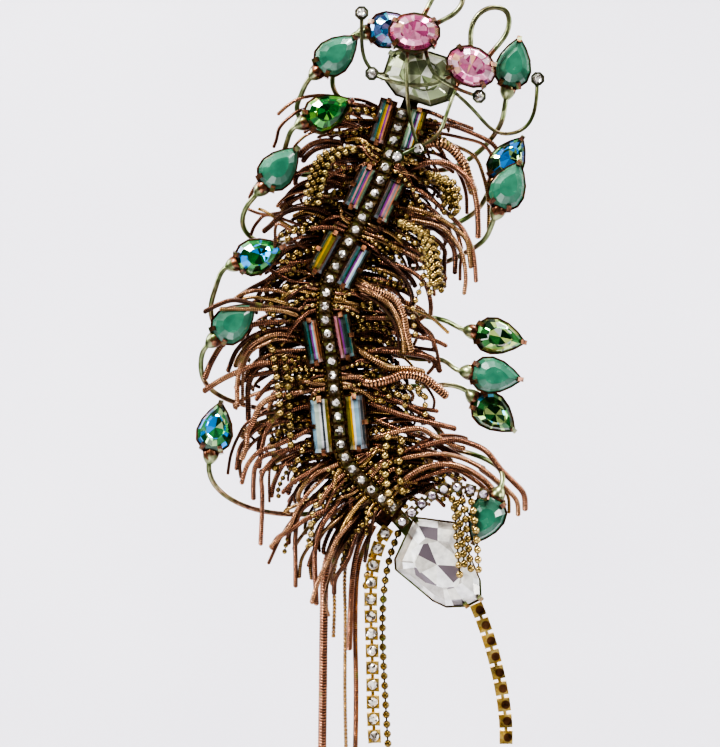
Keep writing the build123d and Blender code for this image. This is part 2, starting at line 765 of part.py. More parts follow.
# The pin on the back: a bar, two posts and a stem behind the cloth, in one piece
pin_plane = Plane(origin=(0, 0, 0), x_dir=(sin(radians(pin_lean)), 0, cos(radians(pin_lean))), z_dir=front)
bar_high = plate_low - fit
bar_low = bar_high - bar_t
stem_level = bar_low - stem_gap - stem_d / 2
with BuildPart() as brooch_pin:
    with BuildSketch(pin_plane.offset(bar_low)):
        Rectangle(pin_length, bar_w)
    extrude(amount=bar_t)
    with BuildSketch(pin_plane.offset(stem_level - stem_d)):
        with GridLocations(pin_length - bar_w * 0.7, 1, 2, 1):
            Rectangle(bar_w * 0.7, bar_w * 0.7)
    extrude(amount=bar_low - stem_level + stem_d)
    stem_start = pin_plane.from_local_coords(Vector(-pin_length / 2, 0, stem_level))
    with BuildSketch(Plane(origin=stem_start, z_dir=pin_plane.x_dir)):
        Circle(stem_d / 2)
    extrude(amount=pin_length)
save(brooch_pin.part, "brooch_pin")
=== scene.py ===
import math
import random

import bpy
import numpy as np
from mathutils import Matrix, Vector


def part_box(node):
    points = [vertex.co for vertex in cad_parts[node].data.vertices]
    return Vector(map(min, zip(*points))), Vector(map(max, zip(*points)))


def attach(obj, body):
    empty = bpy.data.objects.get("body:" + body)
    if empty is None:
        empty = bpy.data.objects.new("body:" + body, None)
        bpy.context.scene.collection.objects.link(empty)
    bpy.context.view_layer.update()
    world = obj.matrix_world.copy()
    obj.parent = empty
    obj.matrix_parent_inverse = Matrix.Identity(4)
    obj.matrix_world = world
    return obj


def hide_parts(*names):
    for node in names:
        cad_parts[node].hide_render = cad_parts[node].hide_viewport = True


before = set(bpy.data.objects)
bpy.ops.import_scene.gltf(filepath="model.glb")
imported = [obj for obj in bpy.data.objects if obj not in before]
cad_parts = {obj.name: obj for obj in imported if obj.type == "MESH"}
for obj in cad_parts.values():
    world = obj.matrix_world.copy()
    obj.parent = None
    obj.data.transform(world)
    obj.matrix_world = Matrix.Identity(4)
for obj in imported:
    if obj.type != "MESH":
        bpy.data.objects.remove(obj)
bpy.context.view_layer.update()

# The camera stands about 0.7 m in front of the brooch with a long lens, and looks straight at
# it, so that the parts that stand forward keep nearly the same size as those behind.
scene = bpy.context.scene
camera = bpy.data.objects.new("camera", bpy.data.cameras.new("camera"))
camera.data.lens = 120
camera.location = (0.0009, -0.718, -0.0437)
camera.rotation_euler = (math.radians(90), 0, 0)
scene.collection.objects.link(camera)
scene.camera = camera


# The studio is a roll of pale paper, hung on a wall and run forward over the floor, with room
# for a camera on every side. Five soft boxes stand round the brooch, and two light the wall.
def set_inputs(tree, node, **inputs):
    """Link or set a node's inputs, each by its socket's name with _ for a space, or by i and its number."""
    for name, value in inputs.items():
        socket = node.inputs[int(name[1:])] if name[1:].isdigit() else node.inputs[name.replace("_", " ")]
        if isinstance(value, bpy.types.NodeSocket):
            tree.links.new(value, socket)
        else:
            socket.default_value = value


def fitting(tree, kind, settings=(), **inputs):
    """A shader node with its settings and inputs."""
    made = tree.nodes.new(kind)
    for setting, value in dict(settings).items():
        setattr(made, setting, value)
    set_inputs(tree, made, **inputs)
    return made


def tint(code):
    """A colour as the shader wants it, from its six-letter web code."""
    parts = [int(code[start : start + 2], 16) / 255 for start in (0, 2, 4)]
    return (*[part / 12.92 if part < 0.04 else ((part + 0.055) / 1.055) ** 2.4 for part in parts], 1)


def new_finish(name):
    """An empty material, its node tree and its surface shader."""
    material = bpy.data.materials.new(name)
    material.use_nodes = True
    return material, material.node_tree, material.node_tree.nodes["Principled BSDF"]


def grain(tree, place, scale, detail=2.0):
    """Cloudy noise from 0 to 1 over a surface, its clouds about 1 / scale metres wide."""
    return fitting(tree, "ShaderNodeTexNoise", Vector=place, Scale=scale, Detail=detail).outputs["Fac"]


def stretched(tree, value, low, high, start=0.0, end=1.0):
    """The value with low to high stretched to start to end, and held there beyond them."""
    return fitting(tree, "ShaderNodeMapRange", i0=value, i1=low, i2=high, i3=start, i4=end).outputs[0]


def ramp(tree, value, stops, smooth=True):
    """A colour that runs through the stops, each a position from 0 to 1 and a web code."""
    made = fitting(tree, "ShaderNodeValToRGB", Fac=value)
    made.color_ramp.interpolation = "LINEAR" if smooth else "CONSTANT"
    band = made.color_ramp.elements
    while len(band) < len(stops):
        band.new(0.5)
    for element, (position, code) in zip(band, stops):
        element.position = position
        element.color = tint(code)
    return made.outputs["Color"]


def between(tree, mask, first, second):
    """The first colour where the mask is 0 and the second where it is 1."""
    mix = fitting(tree, "ShaderNodeMix", {"data_type": "RGBA"}, i0=mask, i6=first, i7=second)
    return mix.outputs[2]


paper_finish, tree, shader = new_finish("paper")
clouds = grain(tree, fitting(tree, "ShaderNodeTexCoord").outputs["Object"], 3.0)
paper_colour = ramp(tree, clouds, [(0.3, "d4d1d9"), (0.7, "dcdadf")])
set_inputs(tree, shader, Base_Color=paper_colour, Roughness=0.9)

# The roll's profile, backward and up in metres: floor, curve and wall
half_paper = 2.4
floor_end = 1.0
floor_height = -0.95
curve_radius = 0.4
wall_top = 1.6
profile = [(-half_paper, floor_height), (floor_end, floor_height)]
for step in range(1, 8):
    turn = step / 16 * math.pi
    back = floor_end + curve_radius * math.sin(turn)
    profile.append((back, floor_height + curve_radius - curve_radius * math.cos(turn)))
profile += [(floor_end + curve_radius, floor_height + curve_radius), (floor_end + curve_radius, wall_top)]
corners = [(across, y, z) for y, z in profile for across in (-half_paper, half_paper)]
strips = [(2 * row, 2 * row + 1, 2 * row + 3, 2 * row + 2) for row in range(len(profile) - 1)]
paper_mesh = bpy.data.meshes.new("paper")
paper_mesh.from_pydata(corners, [], strips)
paper_mesh.shade_smooth()
paper_mesh.materials.append(paper_finish)
paper = bpy.data.objects.new("paper", paper_mesh)
scene.collection.objects.link(paper)

# Each box of light: name, place and width in metres, and power in watts
soft_boxes = [
    ("key", (-0.7, -0.8, 0.8), 0.22, 26),
    ("fill", (0.95, -0.75, 0.1), 0.35, 6),
    ("top", (0.15, -0.25, 0.95), 0.3, 14),
    ("low", (-0.3, -0.8, -0.75), 0.5, 3),
    ("back", (0.3, 0.85, 0.5), 0.5, 10),
    ("wall_left", (-1.3, 0.2, 0.6), 0.9, 36),
    ("wall_right", (1.4, 0.2, 0.2), 0.9, 28),
]
for name, place, size, power in soft_boxes:
    lamp = bpy.data.lights.new(name, "AREA")
    lamp.size = size
    lamp.energy = power
    box = bpy.data.objects.new(name, lamp)
    box.location = place
    aim = Vector((place[0] * 0.3, 1.4, 0)) if name.startswith("wall") else Vector((0, 0, -0.03))
    box.rotation_euler = (aim - Vector(place)).to_track_quat("-Z", "Y").to_euler()
    scene.collection.objects.link(box)

# The room that the metal mirrors is dark below and pale above, and the camera sees pale grey
world = bpy.data.worlds.new("studio")
world.use_nodes = True
tree = world.node_tree
facing = fitting(tree, "ShaderNodeTexCoord").outputs["Generated"]
height = fitting(tree, "ShaderNodeSeparateXYZ", Vector=facing).outputs[2]
room = ramp(tree, stretched(tree, height, -1.0, 1.0), [(0.2, "181518"), (0.55, "4c4a4e"), (0.95, "e4e2e4")])
seen = fitting(tree, "ShaderNodeLightPath").outputs["Is Camera Ray"]
set_inputs(tree, tree.nodes["Background"], Color=between(tree, seen, room, tint("dedce0")), Strength=0.8)
scene.world = world
scene.view_settings.view_transform = "AgX"
scene.view_settings.look = "AgX - High Contrast"


# The spine plate is sheet brass, cut along the curved back, with a raised rail, five cross bars
# and ten closed cups soldered on. It was plated with copper, and the plating has browned.
def surface_place(tree):
    """The place of each point on the brooch."""
    return fitting(tree, "ShaderNodeTexCoord").outputs["Object"]


def sum_of(tree, kind, first, second=0.0):
    """The two values joined by the kind of sum; some kinds need only the first."""
    return fitting(tree, "ShaderNodeMath", {"operation": kind}, i0=first, i1=second).outputs[0]


def bumped(tree, height, strength):
    """A normal that follows the height, which stands for a tenth of a millimetre."""
    return fitting(tree, "ShaderNodeBump", Strength=strength, Distance=0.0001, Height=height).outputs[0]


def group(name, inputs, outputs):
    """An empty node group with its sockets, listed by kind, and the sockets of its two ends."""
    made = bpy.data.node_groups.new(name, "ShaderNodeTree")
    for direction, sockets in (("INPUT", inputs), ("OUTPUT", outputs)):
        for kind, names in sockets.items():
            for socket in names:
                made.interface.new_socket(socket, in_out=direction, socket_type=f"NodeSocket{kind}")
    return made, made.nodes.new("NodeGroupInput").outputs, made.nodes.new("NodeGroupOutput").inputs


def use_group(tree, made, **inputs):
    """One copy of a node group, placed in a material."""
    return fitting(tree, "ShaderNodeGroup", {"node_tree": made}, **inputs).outputs


# Plating that has browned in patches, with bright rubbed spots and fine pits
old_plating, given, result = group(
    "old_plating",
    {"Color": ("Bright", "Brown", "Patch"), "Float": ("Patch Size", "Patch Share")},
    {"Color": ("Color",), "Float": ("Roughness", "Height")},
)
place = surface_place(old_plating)
cloudy = grain(old_plating, place, sum_of(old_plating, "DIVIDE", 1.0, given["Patch Size"]), 4.0)
rubbed = grain(old_plating, place, 900.0, 3.0)
pits = grain(old_plating, place, 5200.0, 2.0)
bright_mask = stretched(old_plating, rubbed, 0.38, 0.64)
patch_edge = sum_of(old_plating, "SUBTRACT", 0.78, given["Patch Share"])
patch_end = sum_of(old_plating, "ADD", patch_edge, 0.12)
patch_mask = stretched(old_plating, cloudy, patch_edge, patch_end)
metal_colour = between(old_plating, bright_mask, given["Brown"], given["Bright"])
old_plating.links.new(between(old_plating, patch_mask, metal_colour, given["Patch"]), result["Color"])
old_plating.links.new(stretched(old_plating, cloudy, 0.3, 0.7, 0.24, 0.46), result["Roughness"])
old_plating.links.new(pits, result["Height"])


def plating(tree, bright, brown, patch, patch_size, patch_share):
    """Old plating in its three colours, placed in a material."""
    colours = {"Bright": tint(bright), "Brown": tint(brown), "Patch": tint(patch)}
    return use_group(tree, old_plating, **colours, Patch_Size=patch_size, Patch_Share=patch_share)


def plated(name, bright, brown, patch, patch_size, patch_share):
    """Old plating as a material."""
    material, tree, shader = new_finish(name)
    worn = plating(tree, bright, brown, patch, patch_size, patch_share)
    relief = bumped(tree, worn["Height"], 0.25)
    set_inputs(tree, shader, Base_Color=worn["Color"], Roughness=worn["Roughness"])
    set_inputs(tree, shader, Metallic=1.0, Normal=relief)
    return material


def finish_node(name, material):
    """Give a carried-over piece its finish."""
    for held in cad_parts[name].material_slots:
        held.material = material


# By depth, the back and the claws are painted the dark browned plating, and the front of the sheet
# between them, with its rail, the bright plating. That brightness is partly rubbed plating and partly
# painted light, which lifts the rail out of the shade it lies in between the cups. In
# metres along y: where the sheet's front starts, and where the claws do
sheet_front = (-0.0036, -0.0042)
claws_front = (-0.009, -0.0094)
plate_copper, tree, shader = new_finish("plate_copper")
# Painted light: this bright plating colour also lifts the rail out of the shade between the cups
sheet_with_painted_light = plating(tree, "d0aa74", "80603f", "808046", 0.0016, 0.26)
claws = plating(tree, "7c543c", "3c261c", "4a4a2a", 0.0022, 0.24)
depth = fitting(tree, "ShaderNodeSeparateXYZ", Vector=surface_place(tree)).outputs[1]
claw_mask = stretched(tree, depth, *claws_front)
front_mask = stretched(tree, depth, *sheet_front)
front_colour_with_painted_light = between(tree, claw_mask, sheet_with_painted_light["Color"], claws["Color"])
plate_colour = between(tree, front_mask, claws["Color"], front_colour_with_painted_light)
relief = bumped(tree, sheet_with_painted_light["Height"], 0.25)
set_inputs(tree, shader, Base_Color=plate_colour, Roughness=sheet_with_painted_light["Roughness"], Normal=relief, Metallic=1.0)
finish_node("spine_plate", plate_copper)


# The ten baguettes are long step-cut glass with a metal coating on the back. The stripes along each
# stone are painted into its colour: partly the coating's own colours, partly painted reflections.
# No two turn the same colours to the front.
def vector_of(tree, kind, first, second=(0.0, 0.0, 0.0)):
    """The two vectors joined by the kind of sum: a value for a distance or a dot product, else a vector."""
    made = fitting(tree, "ShaderNodeVectorMath", {"operation": kind}, i0=first, i1=second)
    return made.outputs["Value" if kind in ("DISTANCE", "DOT_PRODUCT") else "Vector"]


def scaled(tree, vector, factor):
    """The vector or colour times the factor."""
    return fitting(tree, "ShaderNodeVectorMath", {"operation": "SCALE"}, i0=vector, i3=factor).outputs[0]


def stone_corners(name):
    """The corners of a carried-over stone's mesh."""
    return np.array([corner.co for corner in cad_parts[name].data.vertices])


def stone_frame(corners):
    """The middle of a stone and the directions along and across it, seen from the front."""
    middle = corners.mean(axis=0)
    axes = np.linalg.eigh(np.cov((corners - middle).T[[0, 2]]))[1]
    along = np.array([axes[0, 1], 0, axes[1, 1]])
    return middle, along, np.array([along[2], 0, -along[0]])


# The stripes' colours: partly the coatings' own, partly painted reflections such as white and sky
coat_and_reflection_colours = {
    "mint": "cfe0cf",
    "white": "f4f5f2",
    "sky": "9fc4d4",
    "teal": "2f6a66",
    "pine": "2c4034",
    "sage": "7d9a7c",
    "plum": "8a3f8f",
    "rose": "d08a90",
    "salmon": "cf8a66",
    "amber": "d6a51c",
    "olive": "7c7426",
    "brown": "6a4424",
    "grey": "4c5356",
    "smoke": "8c8f92",
}
baguette_stripes = {
    "1_left": "grey teal olive amber plum salmon brown",
    "1_right": "sage mint teal plum white amber olive",
    "2_left": "grey teal rose teal plum salmon sage",
    "2_right": "grey pine plum rose smoke salmon sage",
    "3_left": "pine olive amber olive olive brown grey",
    "3_right": "grey teal pine plum white sky pine",
    "4_left": "pine teal pine plum sky salmon brown",
    "4_right": "rose brown plum grey pine pine teal",
    "5_left": "sky mint mint white grey white olive",
    "5_right": "olive amber white sky sky smoke grey",
}
for name, stripes in baguette_stripes.items():
    corners = stone_corners(f"baguette_{name}")
    middle, along, across = stone_frame(corners)
    across = across if along[2] > 0 else -across
    half_width = float(np.abs((corners - middle) @ across).max())
    material, tree, shader = new_finish(f"coated_baguette_{name}")
    offset = vector_of(tree, "SUBTRACT", surface_place(tree), tuple(middle))
    sideways = vector_of(tree, "DOT_PRODUCT", offset, tuple(across))
    lengthways = vector_of(tree, "DOT_PRODUCT", offset, tuple(along))
    share = stretched(tree, sideways, -half_width, half_width)
    names = stripes.split()
    stops = [(0.08 + 0.84 * step / len(names), coat_and_reflection_colours[colour]) for step, colour in enumerate(names)]
    stripe_colour = ramp(tree, share, stops, smooth=False)
    # Painted light: each stone is painted brighter in the middle and darker towards both ends
    darker_ends = stretched(tree, sum_of(tree, "ABSOLUTE", lengthways), 0.0028, 0.0062, 1.15, 0.45)
    haze = stretched(tree, grain(tree, offset, 420.0), 0.35, 0.65, 0.85, 1.1)
    coat_and_reflections = scaled(tree, stripe_colour, sum_of(tree, "MULTIPLY", darker_ends, haze))
    set_inputs(tree, shader, Base_Color=coat_and_reflections, Metallic=0.6, Roughness=0.08)
    set_inputs(tree, shader, Coat_Weight=1.0, Coat_Roughness=0.03)
    finish_node(f"baguette_{name}", material)


# The fourteen legs are brass wire in a thin green lacquer that has worn through to copper. A
# spun cone joins each wire to a closed cup, whose four claws are folded over a pear stone.
stone_reach, given, result = group(
    "stone_reach", {"Vector": ("Stone",), "Float": ("Near", "Far")}, {"Float": ("Mask",)}
)
place = surface_place(stone_reach)
wander = stretched(stone_reach, grain(stone_reach, place, 320.0, 3.0), 0.0, 1.0, -0.0035, 0.0035)
gap = sum_of(stone_reach, "ADD", vector_of(stone_reach, "DISTANCE", place, given["Stone"]), wander)
stone_reach.links.new(stretched(stone_reach, gap, given["Near"], given["Far"]), result["Mask"])


def off_stones(tree, stones, start, end):
    """A mask that is 0 up to start metres off the nearest stone's cup, and 1 from end metres on."""
    mask = 1.0
    for centre, reach in stones:
        off = use_group(tree, stone_reach, Stone=centre, Near=reach + start, Far=reach + end)["Mask"]
        mask = sum_of(tree, "MINIMUM", mask, off)
    return mask


# From the edge of a cup, in metres: where its bronze ends, and where the thick lacquer thins
bronze_edge = (0.0, 0.0006)
thick_edge = (0.002, 0.013)


def lacquered(name, stones, thick, wire, worn):
    """Bronze cups round the stones, and lacquer that is thick beside them and thins away from them."""
    material, tree, shader = new_finish(name)
    bronze = plating(tree, "86583e", "40261c", "4f5a30", 0.003, 0.24)
    skin = plating(tree, wire, worn, thick, 0.009, 0.36)
    streak = stretched(tree, grain(tree, surface_place(tree), 500.0, 3.0), 0.3, 0.7)
    thick_colour = between(tree, streak, tint(thick), tint("a4a882"))
    lacquer = between(tree, off_stones(tree, stones, *thick_edge), thick_colour, skin["Color"])
    colour = between(tree, off_stones(tree, stones, *bronze_edge), bronze["Color"], lacquer)
    relief = bumped(tree, bronze["Height"], 0.2)
    set_inputs(tree, shader, Base_Color=colour, Roughness=skin["Roughness"], Normal=relief, Metallic=0.9)
    set_inputs(tree, shader, Coat_Weight=0.3, Coat_Roughness=0.15)
    return material


def node_centre(name):
    """The middle of a carried-over piece."""
    low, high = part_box(name)
    return tuple((Vector(low) + Vector(high)) / 2)


pear_reach = 0.0078
legs = ["brow", "tail", *[f"{side}_{number}" for side in ("left", "right") for number in range(1, 7)]]
for name in legs:
    stones = [(node_centre(f"pear_{name}"), pear_reach)]
    finish_node(f"leg_{name}", lacquered(f"leg_{name}", stones, "4c5c30", "96745c", "5c4030"))


# The pear stones are cut glass: seven opaque jade green, six clear green and one clear blue. The
# clear ones have foil behind and a coating that flashes; their facets, seen as a star, are painted
# into the colour as dark and bright reflections and coloured flashes of painted reflection.
cut_facets, given, result = group(
    "cut_facets",
    {"Vector": ("Middle", "Along", "Across"), "Float": ("Reach", "Star", "Seed", "Tilt")},
    {"Float": ("Facet Reflection", "Hue"), "Vector": ("Normal",)},
)
long_for_wide = 1.3
table_edge = 0.46
star_edge = 0.52

# Where each point lies: how far round the star, and how far out in shares of the reach
offset = vector_of(cut_facets, "SUBTRACT", surface_place(cut_facets), given["Middle"])
ahead = vector_of(cut_facets, "DOT_PRODUCT", offset, given["Along"])
aside = vector_of(cut_facets, "DOT_PRODUCT", offset, given["Across"])
aside = sum_of(cut_facets, "MULTIPLY", aside, long_for_wide)
turn = stretched(cut_facets, sum_of(cut_facets, "ARCTAN2", aside, ahead), -math.pi, math.pi)
turn = sum_of(cut_facets, "MULTIPLY", turn, given["Star"])
ahead_squared = sum_of(cut_facets, "MULTIPLY", ahead, ahead)
aside_squared = sum_of(cut_facets, "MULTIPLY", aside, aside)
away = sum_of(cut_facets, "SQRT", sum_of(cut_facets, "ADD", ahead_squared, aside_squared))
away = sum_of(cut_facets, "DIVIDE", away, given["Reach"])

# The straight edges of the table and of the star, and so the ring and the sector of each facet
point = sum_of(cut_facets, "PINGPONG", turn, 0.5)
wedge = sum_of(cut_facets, "DIVIDE", 2 * math.pi, given["Star"])
to_side = sum_of(cut_facets, "COSINE", sum_of(cut_facets, "MULTIPLY", point, wedge))
off_middle = sum_of(cut_facets, "SUBTRACT", 0.5, point)
to_middle = sum_of(cut_facets, "COSINE", sum_of(cut_facets, "MULTIPLY", off_middle, wedge))
inner = sum_of(cut_facets, "GREATER_THAN", sum_of(cut_facets, "MULTIPLY", away, to_side), table_edge)
outer = sum_of(cut_facets, "GREATER_THAN", sum_of(cut_facets, "MULTIPLY", away, to_middle), star_edge)
ring = sum_of(cut_facets, "ADD", inner, outer)
half_step = sum_of(cut_facets, "MULTIPLY", inner, 0.5)
sector = sum_of(cut_facets, "FLOOR", sum_of(cut_facets, "ADD", turn, half_step))
sector = sum_of(cut_facets, "MODULO", sector, given["Star"])

# Each facet draws its own painted reflection, hue and lean, and those of the crown draw others
own_normal = fitting(cut_facets, "ShaderNodeNewGeometry").outputs["Normal"]
crown = vector_of(cut_facets, "FLOOR", scaled(cut_facets, own_normal, 5.0))
spot = fitting(cut_facets, "ShaderNodeCombineXYZ", X=sector, Y=ring, Z=given["Seed"]).outputs[0]
spot = vector_of(cut_facets, "ADD", spot, crown)
facet = fitting(cut_facets, "ShaderNodeTexWhiteNoise", Vector=spot).outputs
hue = fitting(cut_facets, "ShaderNodeSeparateColor", Color=facet["Color"]).outputs[1]
lean = scaled(cut_facets, vector_of(cut_facets, "SUBTRACT", facet["Color"], (0.5, 0.5, 0.5)), given["Tilt"])
turned = vector_of(cut_facets, "NORMALIZE", vector_of(cut_facets, "ADD", own_normal, lean))
cut_facets.links.new(facet["Value"], result["Facet Reflection"])
cut_facets.links.new(hue, result["Hue"])
cut_facets.links.new(turned, result["Normal"])


def foiled(node, colours, flash_share, star=8.0, reach=0.007, tilt=0.5, seed=0.0, shift=(0, 0, 0), foil=0.7):
    """Cut glass with foil behind it, as one stone's finish; its facets are painted from dark to bright
    reflections, and some flash in the coating's colour as painted reflections.
    """
    material, tree, shader = new_finish(f"{node}_glass")
    dark_reflection, body, bright_reflection, flash = colours.split()
    middle, along, across = stone_frame(stone_corners(node))
    lie = {"Middle": tuple(middle + shift), "Along": tuple(along), "Across": tuple(across)}
    cut = use_group(tree, cut_facets, **lie, Reach=reach, Star=star, Seed=seed, Tilt=tilt)
    # Painted reflections: each facet runs from a dark reflection through the body colour to a bright one
    facet_reflection = ramp(tree, cut["Facet Reflection"], [(0.0, dark_reflection), (0.32, dark_reflection), (0.5, body), (0.72, body), (0.9, bright_reflection)])
    haze = stretched(tree, grain(tree, surface_place(tree), 520.0, 3.0), 0.3, 0.7, 0.75, 1.15)
    flashing = sum_of(tree, "GREATER_THAN", cut["Hue"], 1.0 - flash_share)
    colour = between(tree, flashing, scaled(tree, facet_reflection, haze), tint(flash))
    set_inputs(tree, shader, Base_Color=colour, Normal=cut["Normal"], Metallic=foil, Roughness=0.08)
    set_inputs(tree, shader, Coat_Weight=1.0, Coat_Roughness=0.02)
    finish_node(node, material)


jade, tree, shader = new_finish("jade_glass")
swirl = stretched(tree, grain(tree, surface_place(tree), 260.0, 3.0), 0.35, 0.65)
jade_colour = between(tree, swirl, tint("2a5844"), tint("366e56"))
set_inputs(tree, shader, Base_Color=jade_colour, Roughness=stretched(tree, swirl, 0.0, 1.0, 0.16, 0.28))
set_inputs(tree, shader, Coat_Weight=0.6, Coat_Roughness=0.04)
for name in ("left_1", "left_3", "left_5", "right_1", "right_3", "right_5", "tail"):
    finish_node(f"pear_{name}", jade)

clear_pears = [
    ("brow", "1c3f6e 3f86b8 cfa6e8 5fd0e8", 0.2),
    ("left_2", "0a3a16 1f7a30 8ad05a d8ec70", 0.08),
    ("left_4", "0d3b1c 2c8440 7ed070 38a4ee", 0.34),
    ("left_6", "0d3a1c 3f9050 cfeeb0 2a98e8", 0.34),
    ("right_2", "103a20 2f7a48 b8d890 3a8fe0", 0.28),
    ("right_4", "0e3a18 3c7c3c cfe68a e4f0e8", 0.12),
    ("right_6", "0e3a18 2f7034 c8e090 36a0c0", 0.1),
]
for number, (name, colours, flash_share) in enumerate(clear_pears):
    foiled(f"pear_{name}", colours, flash_share, seed=number * 3.0)


# The head is one soldering: a large cup, two eye cups on posts, six feelers and two loops of
# wire for the antennas, all in the same green lacquer. Its stones are pink, clear and small.
eye_reach = 0.0074
eye_places = [(node_centre(f"eye_{word}"), eye_reach) for word in ("left", "right")]
finish_node("head_frame", lacquered("head_lacquer", eye_places, "3c4624", "666040", "54402e"))
for word in ("left", "right"):
    foiled(f"eye_{word}", "b85080 f09cba fcdce4 f4bc9c", 0.14, star=9.0, reach=0.0075, tilt=0.4, seed=4.0)
foiled("head_stone", "6c7454 b4ba98 f6f8ea 98a678", 0.12, star=9.0, reach=0.011, seed=2.0, foil=0.3)


def chip_glass(name, dark_reflection, bright_reflection, foil=0.7):
    """Small round stones, too small for their facets to be told apart; each speck is painted a dark or a
    bright reflection.
    """
    material, tree, shader = new_finish(name)
    cell = fitting(tree, "ShaderNodeTexVoronoi", Vector=surface_place(tree), Scale=1300.0).outputs["Color"]
    facet_reflection = fitting(tree, "ShaderNodeSeparateColor", Color=cell).outputs[0]
    own_normal = fitting(tree, "ShaderNodeNewGeometry").outputs["Normal"]
    lean = vector_of(tree, "SUBTRACT", cell, (0.5, 0.5, 0.5))
    turned = vector_of(tree, "ADD", own_normal, lean)
    # Painted reflections: each speck's colour runs from a dark reflection to a bright one
    set_inputs(tree, shader, Base_Color=ramp(tree, facet_reflection, [(0.2, dark_reflection), (0.75, bright_reflection)]), Normal=turned)
    set_inputs(tree, shader, Metallic=foil, Roughness=0.08, Coat_Weight=1.0)
    return material


finish_node("feeler_stones", chip_glass("feeler_glass", "5a5248", "f0ece4"))


# The tail is a large clear stone of uneven outline, in a bronze cup with claws. A strap, which is
# soldered behind the cup, joins it to the plate.
finish_node("tail_setting", plated("tail_bronze", "a98a5c", "55402a", "6f7a48", 0.005, 0.34))
tail_colours = "b8b4ac eceae2 ffffff 6a6066"
star_shift = (-0.001, 0, 0.002)
foiled("tail_stone", tail_colours, 0.08, star=7.0, reach=0.015, seed=3.0, shift=star_shift, foil=0.15)


# The cup chains are square brass cups, linked behind, each with its four corners pressed over a
# round stone. One runs along the back, one drapes over the tail and two gilt ones hang.
cup_bronze = plated("cup_bronze", "ccb088", "6e543c", "7a7a48", 0.002, 0.3)
cup_gilt = plated("cup_gilt", "ffe08a", "dcb056", "a07c34", 0.003, 0.18)
clear_chip = chip_glass("clear_chip", "4a4036", "f6f2ea", 0.4)
lilac_chip = chip_glass("lilac_chip", "6a5a66", "f2ecf6", 0.4)


def stone_places(name, pitch):
    """The middles of the small stones of one chain, which lie a pitch apart."""
    stones = []
    for corner in stone_corners(name):
        near = [held for held in stones if np.linalg.norm(np.mean(held, axis=0) - corner) < pitch / 2]
        if near:
            near[0].append(corner)
        else:
            stones.append([corner])
    return [np.mean(held, axis=0) for held in stones]


# The right gilt chain hangs with its back to the front, where the gilding has gone brown inside
# each rim. In metres: the chain's pitch, from a stone's middle to its cup's back, and the rim
trail_pitch = 0.0047
to_back = (0.0005, -0.0019, 0)
rim_edge = (0.0011, 0.0014)
cup_backs, tree, shader = new_finish("cup_backs")
gilt = plating(tree, "ffe28c", "e8ba5c", "b08c3c", 0.003, 0.16)
place = surface_place(tree)
rim_mask = 1.0
for middle in stone_places("trail_right_chatons", trail_pitch):
    gap = vector_of(tree, "DISTANCE", place, tuple(middle + to_back))
    rim_mask = sum_of(tree, "MINIMUM", rim_mask, stretched(tree, gap, *rim_edge))
brown = between(tree, grain(tree, place, 900.0, 3.0), tint("5c3c28"), tint("a0704c"))
backs_colour = between(tree, rim_mask, brown, gilt["Color"])
set_inputs(tree, shader, Base_Color=backs_colour, Roughness=gilt["Roughness"], Metallic=1.0)

chain_cups = [
    ("spine", cup_bronze, clear_chip),
    ("drape", cup_bronze, lilac_chip),
    ("trail_left", cup_gilt, clear_chip),
    ("trail_right", cup_backs, clear_chip),
]
for name, metal, glass in chain_cups:
    finish_node(f"{name}_cups", metal)
    finish_node(f"{name}_chatons", glass)


# The fringe is snake chain, cut to length and gathered under the baguettes into a sewn strip on
# each side. Each strand is a coil of flat wire that shows as fine ridges, brown copper with pink.
share_mm = 1.15

# The middle line of the plate from head to tail, across and up in shares of 1.15 mm
spine_shares = [
    (11.6, 27.8), (8.7, 18.3), (4.6, 6.9), (-1.2, -4.0), (-3.9, -9.0), (-6.4, -14.0), (-7.7, -18.5),
    (-7.9, -23.5), (-6.6, -32.0), (-5.5, -43.4), (-4.5, -50.0), (-3.4, -57.5), (-0.4, -62.5), (4.5, -67.5),
    (10.7, -72.4),
]

